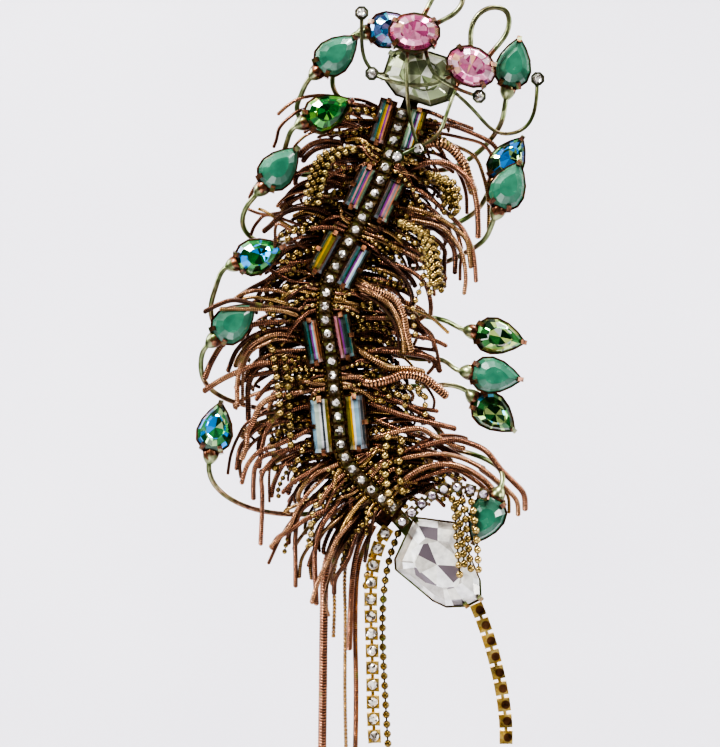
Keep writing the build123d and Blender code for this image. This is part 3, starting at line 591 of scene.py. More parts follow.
# The strands that show one by one: diameter, tone, height of the crest and places, all in mm
left_strands = [
    (1.2, 0.45, 8, [(0.5, 33), (-8.5, 35.5), (-15.5, 35), (-19.5, 33), (-23, 30)]),
    (1.2, 0.3, 8, [(-7.5, 32), (-15.5, 31.5), (-19, 29.5), (-22, 26.5), (-23, 23), (-24, 20.5)]),
    (1.9, 0.3, 9, [(-4.5, 22), (-9, 22.5), (-13, 21.5), (-15.5, 19.5), (-16.5, 18)]),
    (1.7, 0.2, 9.6, [(-4, 21), (-8.5, 21), (-12, 20), (-14.5, 18), (-15.5, 16.5)]),
    (1.7, 0.12, 10, [(-1.5, -0.5), (-8.5, 2), (-13.5, 3.5), (-18, 3), (-21.5, 1.5), (-24.5, -1.5),
        (-27, -3.5)]),
    (1.4, 0.85, 9, [(-2, -2.5), (-5.5, -0.5), (-10, 1), (-14.5, 2.5), (-18.5, 1)]),
    (1.2, 0.55, 9, [(-7.5, 7), (-12.5, 7.5), (-16, 8), (-19.5, 7), (-22, 5), (-23, 3.5)]),
    (1.3, 0.35, 7, [(-20.5, 13.5), (-24, 13.5), (-27, 12), (-29.5, 9), (-31, 6)]),
    (1.1, 0.35, 8, [(-16, -1.5), (-23, 1), (-28, 2), (-31.5, 3.5)]),
    (1.1, 0.85, 8.4, [(-16, -3.5), (-23, 0.5), (-26, 2.5), (-28.5, 3.5)]),
    (1.2, 0.35, 7, [(-19, 2.5), (-26, 1.5), (-28, 0), (-29.5, -2), (-30.5, -4.5)]),
    (1.1, 0.4, 16.6, [(-18.5, -3.5), (-22, -1.5), (-23, -3), (-23, -6.5), (-23.5, -10.5)]),
    (1.2, 0.25, 8, [(-7.5, -11), (-11.5, -9), (-15.5, -7.5), (-19, -5), (-21.5, -3.5)]),
    (1.3, 0.35, 9, [(-11, -17), (-18, -17.5), (-21.5, -16), (-26, -13.5), (-28, -13)]),
    (1.1, 0.3, 8, [(-10, -15.5), (-14.5, -15), (-19.5, -15), (-24, -16), (-27, -17.5), (-29.5, -19)]),
    (1.4, 0.6, 9.5, [(-10.5, -23), (-17, -22), (-23, -20), (-28.5, -20), (-32.5, -21), (-35.5, -23)]),
    (1.2, 0.85, 10, [(-11, -24.5), (-19, -24), (-25, -22.5), (-29.5, -22), (-33, -22.5)]),
    (1.5, 0.1, 16.8, [(-11, -27), (-17.5, -25.5), (-24, -25), (-29.5, -24), (-34.5, -23),
        (-38.5, -24), (-43.5, -26.5)]),
    (1.4, 0.75, 16.9, [(-9, -28.5), (-14.5, -28), (-21.5, -26), (-30, -25.5), (-39, -25.5)]),
    (1.9, 0.25, 9.5, [(-15, -29), (-22, -29), (-28, -29.5), (-33, -31), (-38, -35), (-41.5, -40.5),
        (-43.5, -45.5)]),
    (1.6, 0.5, 10.4, [(-15, -33.5), (-22, -32.5), (-27, -34), (-31, -37), (-33, -41.5), (-34, -46.5),
        (-34, -53.5)]),
    (1.2, 0.55, 10.6, [(-15, -35), (-22, -34), (-26.5, -35.5), (-30, -37.5), (-32, -41.5),
        (-32.5, -46.5), (-32.5, -53.5)]),
    (1.8, 0.45, 10, [(-14, -40), (-22, -40.5), (-28, -41), (-34.5, -43.5), (-39.5, -46), (-44, -49)]),
    (1.5, 0.3, 9.4, [(-14, -41), (-19.5, -42.5), (-23.5, -45.5), (-27, -49), (-29, -51.5)]),
    (1.8, 0.15, 8.6, [(-19, -40.5), (-23.5, -41), (-27, -41.5), (-29.5, -43.5), (-31, -47.5),
        (-31, -51.5), (-31, -57.5)]),
    (1.9, 0.55, 10.8, [(-9, -47), (-12, -48), (-18.5, -49.5), (-24, -50.5), (-27.5, -53),
        (-29.5, -57.5), (-31, -60.5), (-31.5, -64.5), (-33, -68.5)]),
    (1.1, 0.35, 8, [(-22, -54.5), (-27, -55.5), (-31.5, -58), (-34, -62), (-36, -67), (-37, -73)]),
    (1.4, 0.25, 8.6, [(-19, -57), (-27, -58.5), (-31.5, -62.5), (-33.5, -65.5), (-34.5, -71.5)]),
    (1.5, 0.35, 9.8, [(-10.5, -58), (-14, -60), (-18, -62), (-22.5, -64), (-27, -65.5),
        (-29.5, -67.5), (-31.5, -70.5), (-33, -75.5)]),
    (1.6, 0.25, 9.2, [(-16, -64.5), (-22.5, -66), (-27, -67.5), (-29, -70.5), (-29.5, -75),
        (-29.5, -80)]),
    (1.5, 0.35, 9, [(-8.5, -61.5), (-12, -62.5), (-18.5, -64.5), (-24, -68.5), (-27, -72.5),
        (-27, -77), (-27, -81.5), (-27.5, -93)]),
    (0.95, 0.4, 8, [(-19, -65.5), (-24, -69), (-25, -73), (-25, -81)]),
    (1.5, 0.8, 10, [(-4.5, -68), (-10, -70.5), (-14, -74), (-16.5, -78), (-16.5, -80.5)]),
    (1.4, 0.6, 10, [(-3.5, -71), (-10, -74), (-14, -78), (-17, -82.5), (-19, -87), (-21.5, -90),
        (-25, -93.5)]),
    (1.6, 0.35, 9.6, [(-3.5, -80), (-10, -83), (-15, -85.5), (-19, -88.5), (-22.5, -90.5),
        (-24.5, -94)]),
    (1.5, 0.3, 9, [(-5, -78.5), (-13, -80.5), (-16.5, -84), (-17.5, -90), (-17.5, -96.5),
        (-17.5, -105)]),
    (1.4, 0.4, 10.4, [(-7.5, -68), (-14, -72), (-18.5, -75), (-21.5, -78)]),
    (1.6, 0.3, 10, [(0.5, -76.5), (-6, -81.5), (-10, -87), (-11.5, -92), (-12, -96.5), (-11.5, -110)]),
    (1.5, 0.55, 10.6, [(1, -83.5), (-2.5, -87), (-6, -91.5), (-8, -96.5), (-11, -103), (-13, -109.5)]),
    (1.5, 0.2, 10, [(1.5, -85.5), (-0.5, -90.5), (-2.5, -96.5), (-6, -102), (-6.5, -107)]),
    (1.3, 0.75, 9, [(-1.5, -80), (-5, -85), (-11, -90), (-15.5, -96), (-16.5, -102.5)]),
    (1.2, 0.3, 9, [(-7.5, -74), (-13.5, -80), (-18.5, -85.5), (-22, -91), (-25.5, -98.5)]),
    (1.6, 0.35, 9, [(-10, -52), (-16, -53.5), (-21.5, -55.5), (-25.5, -59.5), (-27, -64.5), (-28, -71)]),
    (1.3, 0.2, 8.4, [(-11, -50), (-17.5, -52.5), (-23, -55.5), (-27, -61), (-28.5, -66)]),
    (1.4, 0.45, 9, [(-11, -37.5), (-17.5, -37), (-23, -37.5), (-27, -40), (-29.5, -44), (-31.5, -48)]),
    (1.5, 0.15, 9, [(-13, -31.5), (-18.5, -31), (-25.5, -31.5), (-30.5, -33.5), (-34.5, -37.5),
        (-37, -43.5)]),
    (1.2, 0.35, 8, [(-10, -12), (-16, -12), (-21.5, -12), (-26, -13.5), (-28, -16)]),
    (1.3, 0.25, 8, [(-7.5, -5), (-13, -4.5), (-18.5, -5.5), (-23, -8), (-26, -10.5)]),
    (1.2, 0.45, 8, [(-3, 12.5), (-9, 14), (-15, 14), (-20, 12), (-25, 8.5)]),
    (1.4, 0.3, 8.6, [(-2.5, 9.5), (-9, 11.5), (-14.5, 11), (-18.5, 8.5), (-21, 5.5)]),
    (1.1, 0.4, 8, [(1.5, 29), (-3.5, 31), (-10, 31), (-14.5, 29), (-17, 26)]),
    (1.2, 0.2, 7.6, [(1, 26), (-5, 28), (-11, 27.5), (-15.5, 25)]),
]
right_strands = [
    (1.6, 0.35, 8, [(16.5, 31), (21, 31), (26.5, 28.5), (33.5, 26)]),
    (1.5, 0.3, 8.6, [(19.5, 28), (26.5, 27), (32.5, 25), (38.5, 22), (41.5, 18)]),
    (1.2, 0.35, 9, [(22.5, 25), (29.5, 23.5), (36, 21.5), (39.5, 16.5), (41.5, 11)]),
    (3, 0.65, 11.5, [(18, 21.5), (22.5, 22), (26.5, 20.5), (30, 16.5), (31.5, 12.5), (33.5, 7)]),
    (1.9, 0.4, 11.6, [(13.5, 14), (20, 16), (25, 16), (29, 14), (32.5, 10), (34, 5), (34.5, -1.5),
        (34.5, -5.5)]),
    (1.3, 0.8, 10, [(23.5, 22), (28, 21), (33.5, 18), (36, 12.5), (37.5, 5), (37.5, -4.5)]),
    (1.5, 0.35, 10.8, [(13.5, 10.5), (19, 7.5), (25, 2.5), (30, -2.5), (32.5, -7.5), (33.5, -11.5),
        (34, -18)]),
    (1.5, 0.7, 11.2, [(14.5, 3.5), (21, 1.5), (26.5, -1.5), (31, -5.5), (32, -10), (32.5, -14)]),
    (1.4, 0.6, 11, [(15.5, 0), (23.5, -2), (27.5, -5.5), (30, -10), (31, -16), (30.5, -21.5)]),
    (1.5, 0.25, 8, [(18, -3.5), (22.5, -5.5), (25, -8.5), (25, -11.5), (25, -19.5)]),
    (1.6, 0.2, 8.4, [(21, -1.5), (26, -5.5), (28, -9.5), (28, -15.5)]),
    (1.2, 0.3, 8, [(19.5, -1.5), (26, -4.5), (29.5, -9), (29.5, -13.5), (29.5, -17.5)]),
    (1.6, 0.05, 11, [(0.5, -7.5), (4.5, -9), (8.5, -11.5), (13, -16), (15.5, -21), (16, -25.5)]),
    (2.3, 0.6, 12, [(-1.5, -17.5), (5, -20), (10.5, -22.5), (13, -27), (14, -32), (15.5, -38)]),
    (1.8, 0.7, 12.3, [(-1, -19), (4.5, -21), (9, -24), (11.5, -28), (13, -33), (13.5, -38)]),
    (1.2, 0.1, 12, [(1, -21), (6, -23.5), (9.5, -27.5), (11.5, -32), (12, -37)]),
    (1.2, 0.85, 10, [(11, -24), (17.5, -26), (21.5, -28), (26.5, -32.5)]),
    (1.4, 0.35, 9, [(10, -32), (16, -33), (21.5, -34), (26, -36)]),
    (1.2, 0.35, 9.4, [(13.5, -26), (18, -29.5), (22, -35), (24, -43.5)]),
    (2, 0.75, 11, [(-1.5, -35.5), (3.5, -39), (9, -42), (15.5, -42.5), (19.5, -43.5)]),
    (2.7, 0.55, 12, [(-3.5, -46.5), (0, -45.5), (4, -46.5), (9, -45.5), (13.5, -44), (19, -45),
        (23, -48), (26, -50.5)]),
    (1.8, 0.3, 9, [(3, -37.5), (9.5, -37.5), (16, -38), (21.5, -39.5), (24, -43.5)]),
    (1.6, 0.3, 9.6, [(-2, -49), (6, -49.5), (13.5, -52.5), (18, -55), (22.5, -57)]),
    (1.8, 0.35, 10.4, [(0, -50.5), (8.5, -54), (16, -56.5), (22.5, -58), (28.5, -59.5)]),
    (1.7, 0.6, 11, [(2.5, -62.5), (8.5, -61), (14.5, -59.5), (18.5, -59.5), (22, -61.5),
        (28.5, -64.5), (31, -65)]),
    (1.3, 0.3, 9.6, [(6.5, -69), (13.5, -66), (18.5, -63.5), (23.5, -61.5), (28.5, -61.5), (32, -62.5)]),
    (1.8, 0.35, 10.6, [(18, -64.5), (26.5, -62.5), (32, -63.5), (37, -66), (41, -71), (44.5, -74.5),
        (47.5, -78), (48, -83)]),
    (1.5, 0.55, 11, [(6.5, -69), (14.5, -67.5), (22.5, -66.5), (29, -67.5), (34.5, -70), (38.5, -73),
        (42.5, -76.5), (45.5, -80), (46, -84.5)]),
    (1.9, 0.5, 11.6, [(8, -76), (14.5, -73), (20.5, -70), (26.5, -69.5), (31.5, -71), (35.5, -73.5),
        (38.5, -76.5), (42, -81)]),
    (1.5, 0.4, 11, [(7.5, -77.5), (15.5, -74.5), (22.5, -72), (28, -71), (33.5, -74), (37, -77),
        (41, -80.5)]),
    (1.6, 0.15, 10, [(6.5, -81), (13.5, -79), (18.5, -77), (22.5, -75)]),
    (1.4, 0.3, 9, [(4.5, -50.5), (11.5, -52), (17.5, -53.5), (23.5, -54.5)]),
    (1.3, 0.25, 9, [(18, -61.5), (25.5, -65), (31, -68), (37, -71)]),
    (1.2, 0.8, 9, [(35, -71), (39.5, -74.5), (43, -78.5), (43.5, -84)]),
    (1.4, 0.35, 9, [(11, 2.5), (17, 1), (22.5, -0.5), (28, -2.5), (30, -8.5)]),
    (1.8, 0.8, 11, [(-1, -16), (4, -19), (8.5, -21.5), (11, -26)]),
    (1.6, 0.8, 10.6, [(3.5, -3.5), (7.5, -5.5), (10, -7.5), (13, -9)]),
    (1.2, 0.9, 11, [(-1, 21.5), (3.5, 21), (7.5, 19.5)]),
    (1.4, 0.35, 8.6, [(7.5, -5.5), (14.5, -7.5), (19.5, -10.5), (22.5, -15), (23, -20)]),
    (1.5, 0.3, 8.4, [(6.5, -12), (13.5, -13.5), (19, -17.5), (21, -23), (21, -28)]),
    (1.6, 0.25, 9, [(2.5, -28), (9.5, -28), (15.5, -29), (21, -32.5), (22.5, -37.5)]),
    (1.3, 0.35, 8, [(16, 19.5), (22.5, 19), (28, 15), (31, 8.5), (31.5, 1.5)]),
    (1.4, 0.2, 8, [(14, 7), (20, 4), (25.5, -1), (27.5, -7.5), (28, -12)]),
    (1.4, 0.35, 9, [(5.5, -57), (13, -60), (20, -62.5), (25.5, -66), (29, -67.5)]),
    (1.6, 0.3, 9.4, [(4.5, -64), (12.5, -65), (21, -66), (26.5, -69), (31, -71)]),
    (1.4, 0.2, 7.6, [(9, -72.5), (15, -74.5), (21, -76.5), (26.5, -79), (28.5, -82)]),
    (1.3, 0.35, 7.4, [(10.5, -75), (16, -77), (22, -79), (25.5, -82)]),
    (1.5, 0.1, 7, [(8.5, -70.5), (16, -72), (23, -74.5), (29, -77.5), (31, -81)]),
    (1.2, 0.6, 6.8, [(11.5, -77.5), (16.5, -79.5), (21.5, -81.5)]),
    (1.4, 0.0, 6.4, [(10.5, -74), (14.5, -77.5), (18.5, -81.5)]),
]
fringe_balls = [
    (2.2, 0.6, 9, [(-14, -3.5), (-17.5, -3), (-19.5, -5), (-21, -7.5)]),
    (2, 0.5, 8, [(-16, -9), (-19.5, -10), (-23, -13.5)]),
    (2.2, 0.7, 10, [(-6, -21.5), (-11, -21), (-18, -19), (-23, -19.5)]),
    (2, 0.5, 9.5, [(-15, -18), (-17, -19.5), (-19.5, -23), (-23, -26), (-24.5, -29.5)]),
    (2, 0.4, 9, [(-16, -28), (-20.5, -29), (-24.5, -30), (-28, -32.5), (-30.5, -38)]),
    (2.2, 0.4, 8, [(-19, -33), (-23.5, -33.5), (-24.5, -35), (-25, -38.5), (-24, -42), (-24.5, -44.5)]),
    (2.2, 0.7, 10.4, [(-10, -44.5), (-14, -44.5), (-17.5, -45), (-20.5, -46.5), (-23.5, -49)]),
    (2.4, 0.3, 8, [(-20.5, -65), (-23, -66.5), (-23.5, -69), (-23, -73.5)]),
    (2.4, 0.5, 9, [(-10, -62.5), (-13.5, -64), (-15.5, -65.5), (-16.5, -67.5), (-17.5, -70.5),
        (-18, -73.5), (-18.5, -77)]),
    (2.3, 0.5, 9, [(-3.5, -66), (-8.5, -67), (-11, -68), (-12.5, -69.5)]),
    (2.2, 0.6, 10, [(-2, -71), (-4.5, -73.5), (-9, -77), (-11, -80), (-12, -82.5), (-13, -85.5),
        (-13, -90), (-13.5, -95)]),
    (2, 0.3, 8.6, [(-15.5, -56), (-19, -58), (-22, -62)]),
    (2, 0.6, 11, [(11, -4.5), (15, -5.5), (18, -8.5), (19, -16), (16, -25), (16, -28.5), (17, -35)]),
    (2, 0.5, 10, [(10, -49), (13, -50), (13.5, -52), (14, -55), (15, -57.5)]),
    (2, 0.6, 10, [(13.5, -47.5), (17.5, -48), (19, -50), (19.5, -54), (19, -58)]),
    (2, 0.4, 10, [(4.5, -50), (7.5, -48), (11.5, -47.5), (15.5, -48), (19, -50), (21, -52.5)]),
    (2, 0.5, 10.4, [(5.5, -52), (9.5, -50), (13.5, -50), (16.5, -52)]),
    (1.9, 0.4, 10, [(21.5, -74), (25.5, -72.5), (29, -73.5), (31.5, -74)]),
    (2.2, 0.6, 14.8, [(27, -80), (30, -81), (33, -86.5), (34, -93), (34.5, -99), (35, -102)]),
    (2, 0.3, 8, [(-2, -34), (4.5, -34), (10, -35.5), (13.5, -37.5)]),
    (2, 0.4, 8, [(-7.5, 4), (-11, 1.5), (-15, -1.5), (-17, -5.5)]),
    (2, 0.5, 8, [(-6.5, -31.5), (-13.5, -31), (-19.5, -31.5), (-25, -33.5)]),
    (2, 0.5, 8.6, [(1, 4.5), (5.5, 2.5), (9, 1.5), (13, -0.5)]),
    (2, 0.4, 8.6, [(11, 7), (15, 5), (19, 1.5), (20, -3.5)]),
    (2, 0.5, 8.4, [(-1.5, 29), (-5.5, 29.5), (-10, 28), (-13, 25)]),
    (2, 0.3, 8, [(13, 28), (18, 27), (23, 24), (25.5, 20)]),
    (2, 0.4, 8, [(-6.5, -41.5), (-11.5, -42.5), (-16, -45.5), (-18.5, -50.5)]),
    (2, 0.4, 9, [(2.5, -71), (5.5, -75), (6.5, -80), (7, -86)]),
    (2, 0.6, 9.6, [(4.5, -74.5), (8.5, -77.5), (10.5, -82.5), (10, -88.5)]),
    (2, 0.3, 8.2, [(-16, -51.5), (-19.5, -54.5), (-22, -60), (-23, -65)]),
    (2, 0.2, 7.6, [(9.5, -73.5), (15.5, -75.5), (21, -78), (27, -80.5)]),
    (2, 0.3, 7.2, [(11, -76), (15.5, -79.5), (19.5, -82)]),
]
# The tips of the locks between them: share of the spine where each starts, then across and up
left_locks = [
    (0.03, -18.3, 25.3), (0.09, -13.0, 17.0), (0.15, -13.0, 9.0), (0.21, -22.0, 1.0),
    (0.27, -19.5, -5.5),
    (0.33, -24.0, -14.0), (0.39, -30.0, -20.0), (0.45, -28.5, -25.5), (0.51, -32.0, -33.0),
    (0.57, -33.0, -38.5),
    (0.63, -30.0, -46.0), (0.69, -29.0, -53.0), (0.75, -30.0, -60.5), (0.81, -25.0, -66.5),
    (0.87, -20.0, -84.0),
    (0.92, -14.0, -95.0), (0.96, -9.5, -101.0),
]
right_locks = [
    (0.03, 24.3, 22.8), (0.09, 26.0, 14.0), (0.15, 24.0, 6.0), (0.21, 25.5, -2.0), (0.27, 25.0, -14.0),
    (0.33, 21.0, -18.0), (0.39, 17.0, -22.0), (0.45, 18.0, -28.0), (0.51, 19.0, -30.5),
    (0.57, 20.0, -37.0),
    (0.63, 22.0, -45.0), (0.69, 24.0, -51.0), (0.75, 24.0, -55.5), (0.81, 27.0, -63.5),
    (0.87, 28.0, -67.0),
]


def smooth_path(points, count=16):
    """Many places on a smooth curve through the points, and the length of the curve up to each."""
    knots = np.array([points[0], *points, points[-1]], float)
    knots[0] += knots[1] - knots[2]
    knots[-1] += knots[-2] - knots[-3]
    places = []
    for before, start, end, after in zip(knots, knots[1:], knots[2:], knots[3:]):
        for t in np.arange(count)[:, None] / count:
            slope = (end - before) * t
            bend = (2 * before - 5 * start + 4 * end - after) * t**2
            turn_back = (3 * start - before - 3 * end + after) * t**3
            places.append(start + 0.5 * (slope + (bend + turn_back)))
    places = np.array([*places, knots[-2]])
    steps = np.linalg.norm(np.diff(places, axis=0), axis=1)
    return places, np.concatenate([[0.0], np.cumsum(steps)])


def along_path(path, at):
    """The place, or places, at a length along a path of places and lengths."""
    places, lengths = path
    return np.stack([np.interp(at, lengths, places[:, axis]) for axis in range(3)], axis=-1)


def chain_skin(points, link, pitch, tone, sides=8, slant=0.0):
    """One strand of chain, with rings at the link's rows: share of the pitch, radius and how bright the
    colour is painted there, darker in the hollows as patina and painted shade.
    """
    path = smooth_path(points)
    length = path[1][-1]
    count = max(1, int(length / pitch))
    rows = [(place + number, radius, bright) for number in range(count) for place, radius, bright in link]
    end_step = 0.01
    rows = [(rows[0][0] - end_step, 0.0, 0.5), *rows, (rows[-1][0] + end_step, 0.0, 0.5)]
    share, radius, bright = np.array(rows).T
    at = share * length / (count + 0.5)
    centre = along_path(path, at)
    reach = 0.0003
    tangent = along_path(path, at + reach) - along_path(path, at - reach)
    tangent /= np.linalg.norm(tangent, axis=1)[:, None]

    # The rings are carried along without twist, from a direction that no strand sets out in
    side = np.cross(tangent[0], (0.13, 1.0, 0.21))
    across = []
    for direction in tangent:
        side = side - direction * side.dot(direction)
        side /= np.linalg.norm(side)
        across.append(side)
    across = np.array(across)
    other = np.cross(tangent, across)
    turn = np.arange(sides) * 2 * math.pi / sides
    ring = across[:, None] * np.cos(turn)[None, :, None] + other[:, None] * np.sin(turn)[None, :, None]
    ring = ring + tangent[:, None] * slant * np.sin(turn)[None, :, None]
    corners = (centre[:, None] + ring * radius[:, None, None]).reshape(-1, 3)
    row = np.arange(len(rows) - 1)[:, None] * sides
    corner = np.arange(sides)[None, :]
    after = (corner + 1) % sides
    quads = np.stack([row + corner, row + after, row + sides + after, row + sides + corner], axis=2)
    bright = np.repeat(bright, sides)
    blank = np.zeros(len(bright))
    # The second channel is how bright the colour is painted: full on the crests, darker in the grooves as
    # patina and painted shade
    tone_and_groove_shade = np.stack([blank + tone, bright, blank, blank + 1.0], axis=1)
    return corners, quads.reshape(-1, 4), tone_and_groove_shade


# The coil of a snake chain leans by a share of its radius. Its pitch is a share of its diameter,
# but no finer than a limit, and strands under a diameter get plainer ridges
coil_slant = 0.4
coil_pitch = 0.00032
finest_pitch = 0.00058
plain_under = 1.4


def snake_chain(points, diameter, tone):
    """A strand of snake chain; its diameter is in mm."""
    radius = diameter / 2000
    groove = radius * 0.7
    pitch = max(finest_pitch, coil_pitch * diameter)
    if diameter < plain_under:
        return chain_skin(points, [(0.0, radius, 1.0), (0.6, groove, 0.0)], pitch, tone, 6, coil_slant)
    ridge = [(0.0, radius, 1.0), (0.42, radius * 0.97, 0.9), (0.6, radius * 0.66, 0.0), (0.84, groove, 0.0)]
    return chain_skin(points, ridge, pitch, tone, 8 if diameter < 2.0 else 12, coil_slant)


def bed_chain(points, diameter, tone):
    """A strand of the bed under the others, with coarser ridges, its crests painted darker than those on top
    as painted shade under the strands above; its diameter is in mm.
    """
    radius = diameter / 2000
    return chain_skin(points, [(0.0, radius, 0.7), (0.6, radius * 0.7, 0.0)], 0.001, tone, 6, coil_slant)


def hang_chains(name, strands, material, nodes):
    """Gather strands into one piece that stands for its nodes."""
    start = 0
    faces = []
    for corners, quads, tone_and_groove_shade in strands:
        faces.append(quads + start)
        start += len(corners)
    corners = np.concatenate([strand[0] for strand in strands])
    tone_and_groove_shade = np.concatenate([strand[2] for strand in strands])
    mesh = bpy.data.meshes.new(name)
    mesh.from_pydata(corners.tolist(), [], np.concatenate(faces).tolist())
    layer = mesh.attributes.new("tone_and_groove_shade", "FLOAT_COLOR", "POINT")
    layer.data.foreach_set("color", tone_and_groove_shade.ravel())
    mesh.shade_smooth()
    mesh.materials.append(material)
    piece = bpy.data.objects.new(name, mesh)
    scene.collection.objects.link(piece)
    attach(piece, "root")
    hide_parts(*nodes)


def chain_finish(name, tones, groove, patch, patch_share, rough):
    """Browned chain: a tone for each strand, grooves painted dark as patina and painted shade, ridges in the
    full tone, and patches of lacquer.
    """
    material, tree, shader = new_finish(name)
    tone_and_groove_shade = fitting(tree, "ShaderNodeAttribute", {"attribute_name": "tone_and_groove_shade"}).outputs["Color"]
    marks = fitting(tree, "ShaderNodeSeparateColor", Color=tone_and_groove_shade).outputs
    tone, bright = marks[0], marks[1]
    place = surface_place(tree)
    drift = stretched(tree, grain(tree, place, 150.0, 3.0), 0.0, 1.0, -0.3, 0.3)
    codes = tones.split()
    stops = [(number / (len(codes) - 1), code) for number, code in enumerate(codes)]
    metal = ramp(tree, sum_of(tree, "ADD", tone, drift), stops)
    # Painted shade: the grooves darken towards the groove colour, partly patina and partly the shade in them
    groove_shaded = between(tree, stretched(tree, bright, 0.0, 1.0, 0.1, 1.0), tint(groove), metal)
    cloud = grain(tree, place, 190.0, 3.0)
    patch_mask = stretched(tree, cloud, 0.74 - patch_share, 0.86 - patch_share)
    colour = between(tree, patch_mask, groove_shaded, tint(patch))
    roughness = stretched(tree, cloud, 0.3, 0.7, rough, rough + 0.18)
    relief = bumped(tree, grain(tree, place, 4200.0, 2.0), 0.2)
    set_inputs(tree, shader, Base_Color=colour, Roughness=roughness, Normal=relief, Metallic=0.84)
    return material


copper_tones = "3e2a1e 6c4836 94664e b08464 96764c e0b470"
chain_copper = chain_finish("chain_copper", copper_tones, "1e1109", "5c6230", 0.1, 0.16)


def on_brooch(across, up, high):
    """The place at across and up in shares of 1.15 mm, and high in mm in front of the plane y = 0."""
    return np.array([across * share_mm / 1000, -high / 1000, up * share_mm / 1000])


spine_path = smooth_path([on_brooch(across, up, 0) for across, up in spine_shares])


def beside_spine(share, side, high):
    """The place at a share of the spine's length, mm to its side and mm in front of the plane y = 0."""
    at = share * spine_path[1][-1]
    reach = 0.002
    run = along_path(spine_path, at - reach) - along_path(spine_path, at + reach)
    run /= np.linalg.norm(run)
    across = np.array([run[2], 0.0, -run[0]])
    return along_path(spine_path, at) + across * side / 1000 + np.array([0, -high / 1000, 0])


# In mm: how far beside the spine and how high the strands are sewn, where the cups above them
# end, and over what width the strands then rise to their crest
sewn_beside = 3.6
sewn_high = 5.4
cups_end = 6.4
rise_width = 4.0


def out_from_under(places, side, crest, droop):
    """Give flat places their heights: sewn low beside the rail, under the cups, then over a crest."""
    route = []
    for number, place in enumerate(places):
        nearest = spine_path[0][np.argmin(np.linalg.norm(spine_path[0] - place * (1, 0, 1), axis=1))]
        away = (place - nearest) * (1, 0, 1)
        beside = np.linalg.norm(away) * 1000
        if away[0] * side <= 0 or beside <= sewn_beside:
            beside = sewn_beside
            away = np.array([side * sewn_beside / 1000, 0, 0])
        rise = min(max((beside - cups_end) / rise_width, 0.0), 1.0)
        rise = rise * rise * (3 - 2 * rise)
        run = number / (len(places) - 1)
        high = sewn_high + (crest - sewn_high) * rise - droop * run**2
        route.append((nearest + away) * (1, 0, 1) - np.array([0, high / 1000, 0]))
    return route


def flat_places(places):
    """Places in mm across and up, laid flat in the plane y = 0."""
    return [np.array([across / 1000, 0, up / 1000]) for across, up in places]


def traced(rows, side):
    """The strands that show one by one, from their rows."""
    strands = []
    for diameter, tone, crest, places in rows:
        strands.append(snake_chain(out_from_under(flat_places(places), side, crest, 2.0), diameter, tone))
    return strands


def thatch(locks, side, count, stretches, diameters, crests, tones, seed, drawn=snake_chain):
    """Strands strewn along one side, each reaching a part of the way to its lock's tip."""
    chance = random.Random(seed)
    shares, tips_across, tips_up = np.array(locks).T
    strands = []
    for number in range(count):
        share = 0.01 + 0.95 * (number + chance.random()) / count
        root = beside_spine(share, side * chance.uniform(3.5, 5.4), 0)
        across = np.interp(share + chance.uniform(-0.04, 0.04), shares, tips_across)
        up = np.interp(share + chance.uniform(-0.04, 0.04), shares, tips_up)
        reach = (on_brooch(across, up, 0) - root) * chance.uniform(*stretches)
        rise = abs(reach[0]) * chance.uniform(-0.05, 0.32)
        swing = np.array([reach[0], 0, rise])
        places = [
            root,
            root + reach * 0.3 + swing * (0.10, 0, 0.8),
            root + reach * 0.62 + swing * (0.16, 0, 1.0),
            root + reach * 0.88 + swing * (0.10, 0, 0.45),
            root + reach + swing * (chance.uniform(-0.12, 0.06), 0, -0.2),
        ]
        crest = chance.uniform(*crests)
        route = out_from_under(places, side, crest, min(crest - 4.2, chance.uniform(0.8, 2.6)))
        strands.append(drawn(route, chance.choice(diameters), chance.uniform(*tones)))
    return strands


# The bare stretches of the rail between the pairs of baguettes, in shares of the spine, how many
# strands the whole spine would take, and the cup chain's half width and the rail's height in mm
bare_rail = [(0.105, 0.145), (0.265, 0.315), (0.432, 0.496), (0.62, 0.672), (0.825, 0.97)]
strands_a_spine = 90
cups_side = 1.75
rail_high = 8.75


def over_the_rail(side, thick, seed):
    """Strands sewn on beside the cup chain, which lie over the rail and hide it."""
    chance = random.Random(seed)
    strands = []
    for start, end in bare_rail:
        count = max(5, round((end - start) * strands_a_spine))
        for number in range(count):
            share = start + (end - start) * (number + 0.5) / count
            diameter = chance.choice(thick)
            reach = chance.uniform(6.0, 15.0)
            halfway = 5.0 + 0.5 * (reach - 5.0)
            fall = chance.uniform(0.3, 1.0) * max(reach - 8.0, 1.0)
            drift = chance.uniform(-0.03, 0.045)
            places = [
                beside_spine(share, side * (cups_side + diameter / 2), rail_high + diameter / 2),
                beside_spine(share + 0.15 * drift, side * 5.0, chance.uniform(9.6, 10.4)),
                beside_spine(share + 0.6 * drift, side * halfway, chance.uniform(9.4, 11.0)),
                beside_spine(share + drift, side * reach, chance.uniform(7.0, 9.0)),
            ]
            places[2][2] -= 0.0002 * fall
            places[3][2] -= 0.001 * fall
            strands.append((places, diameter, chance.random()))
    return strands


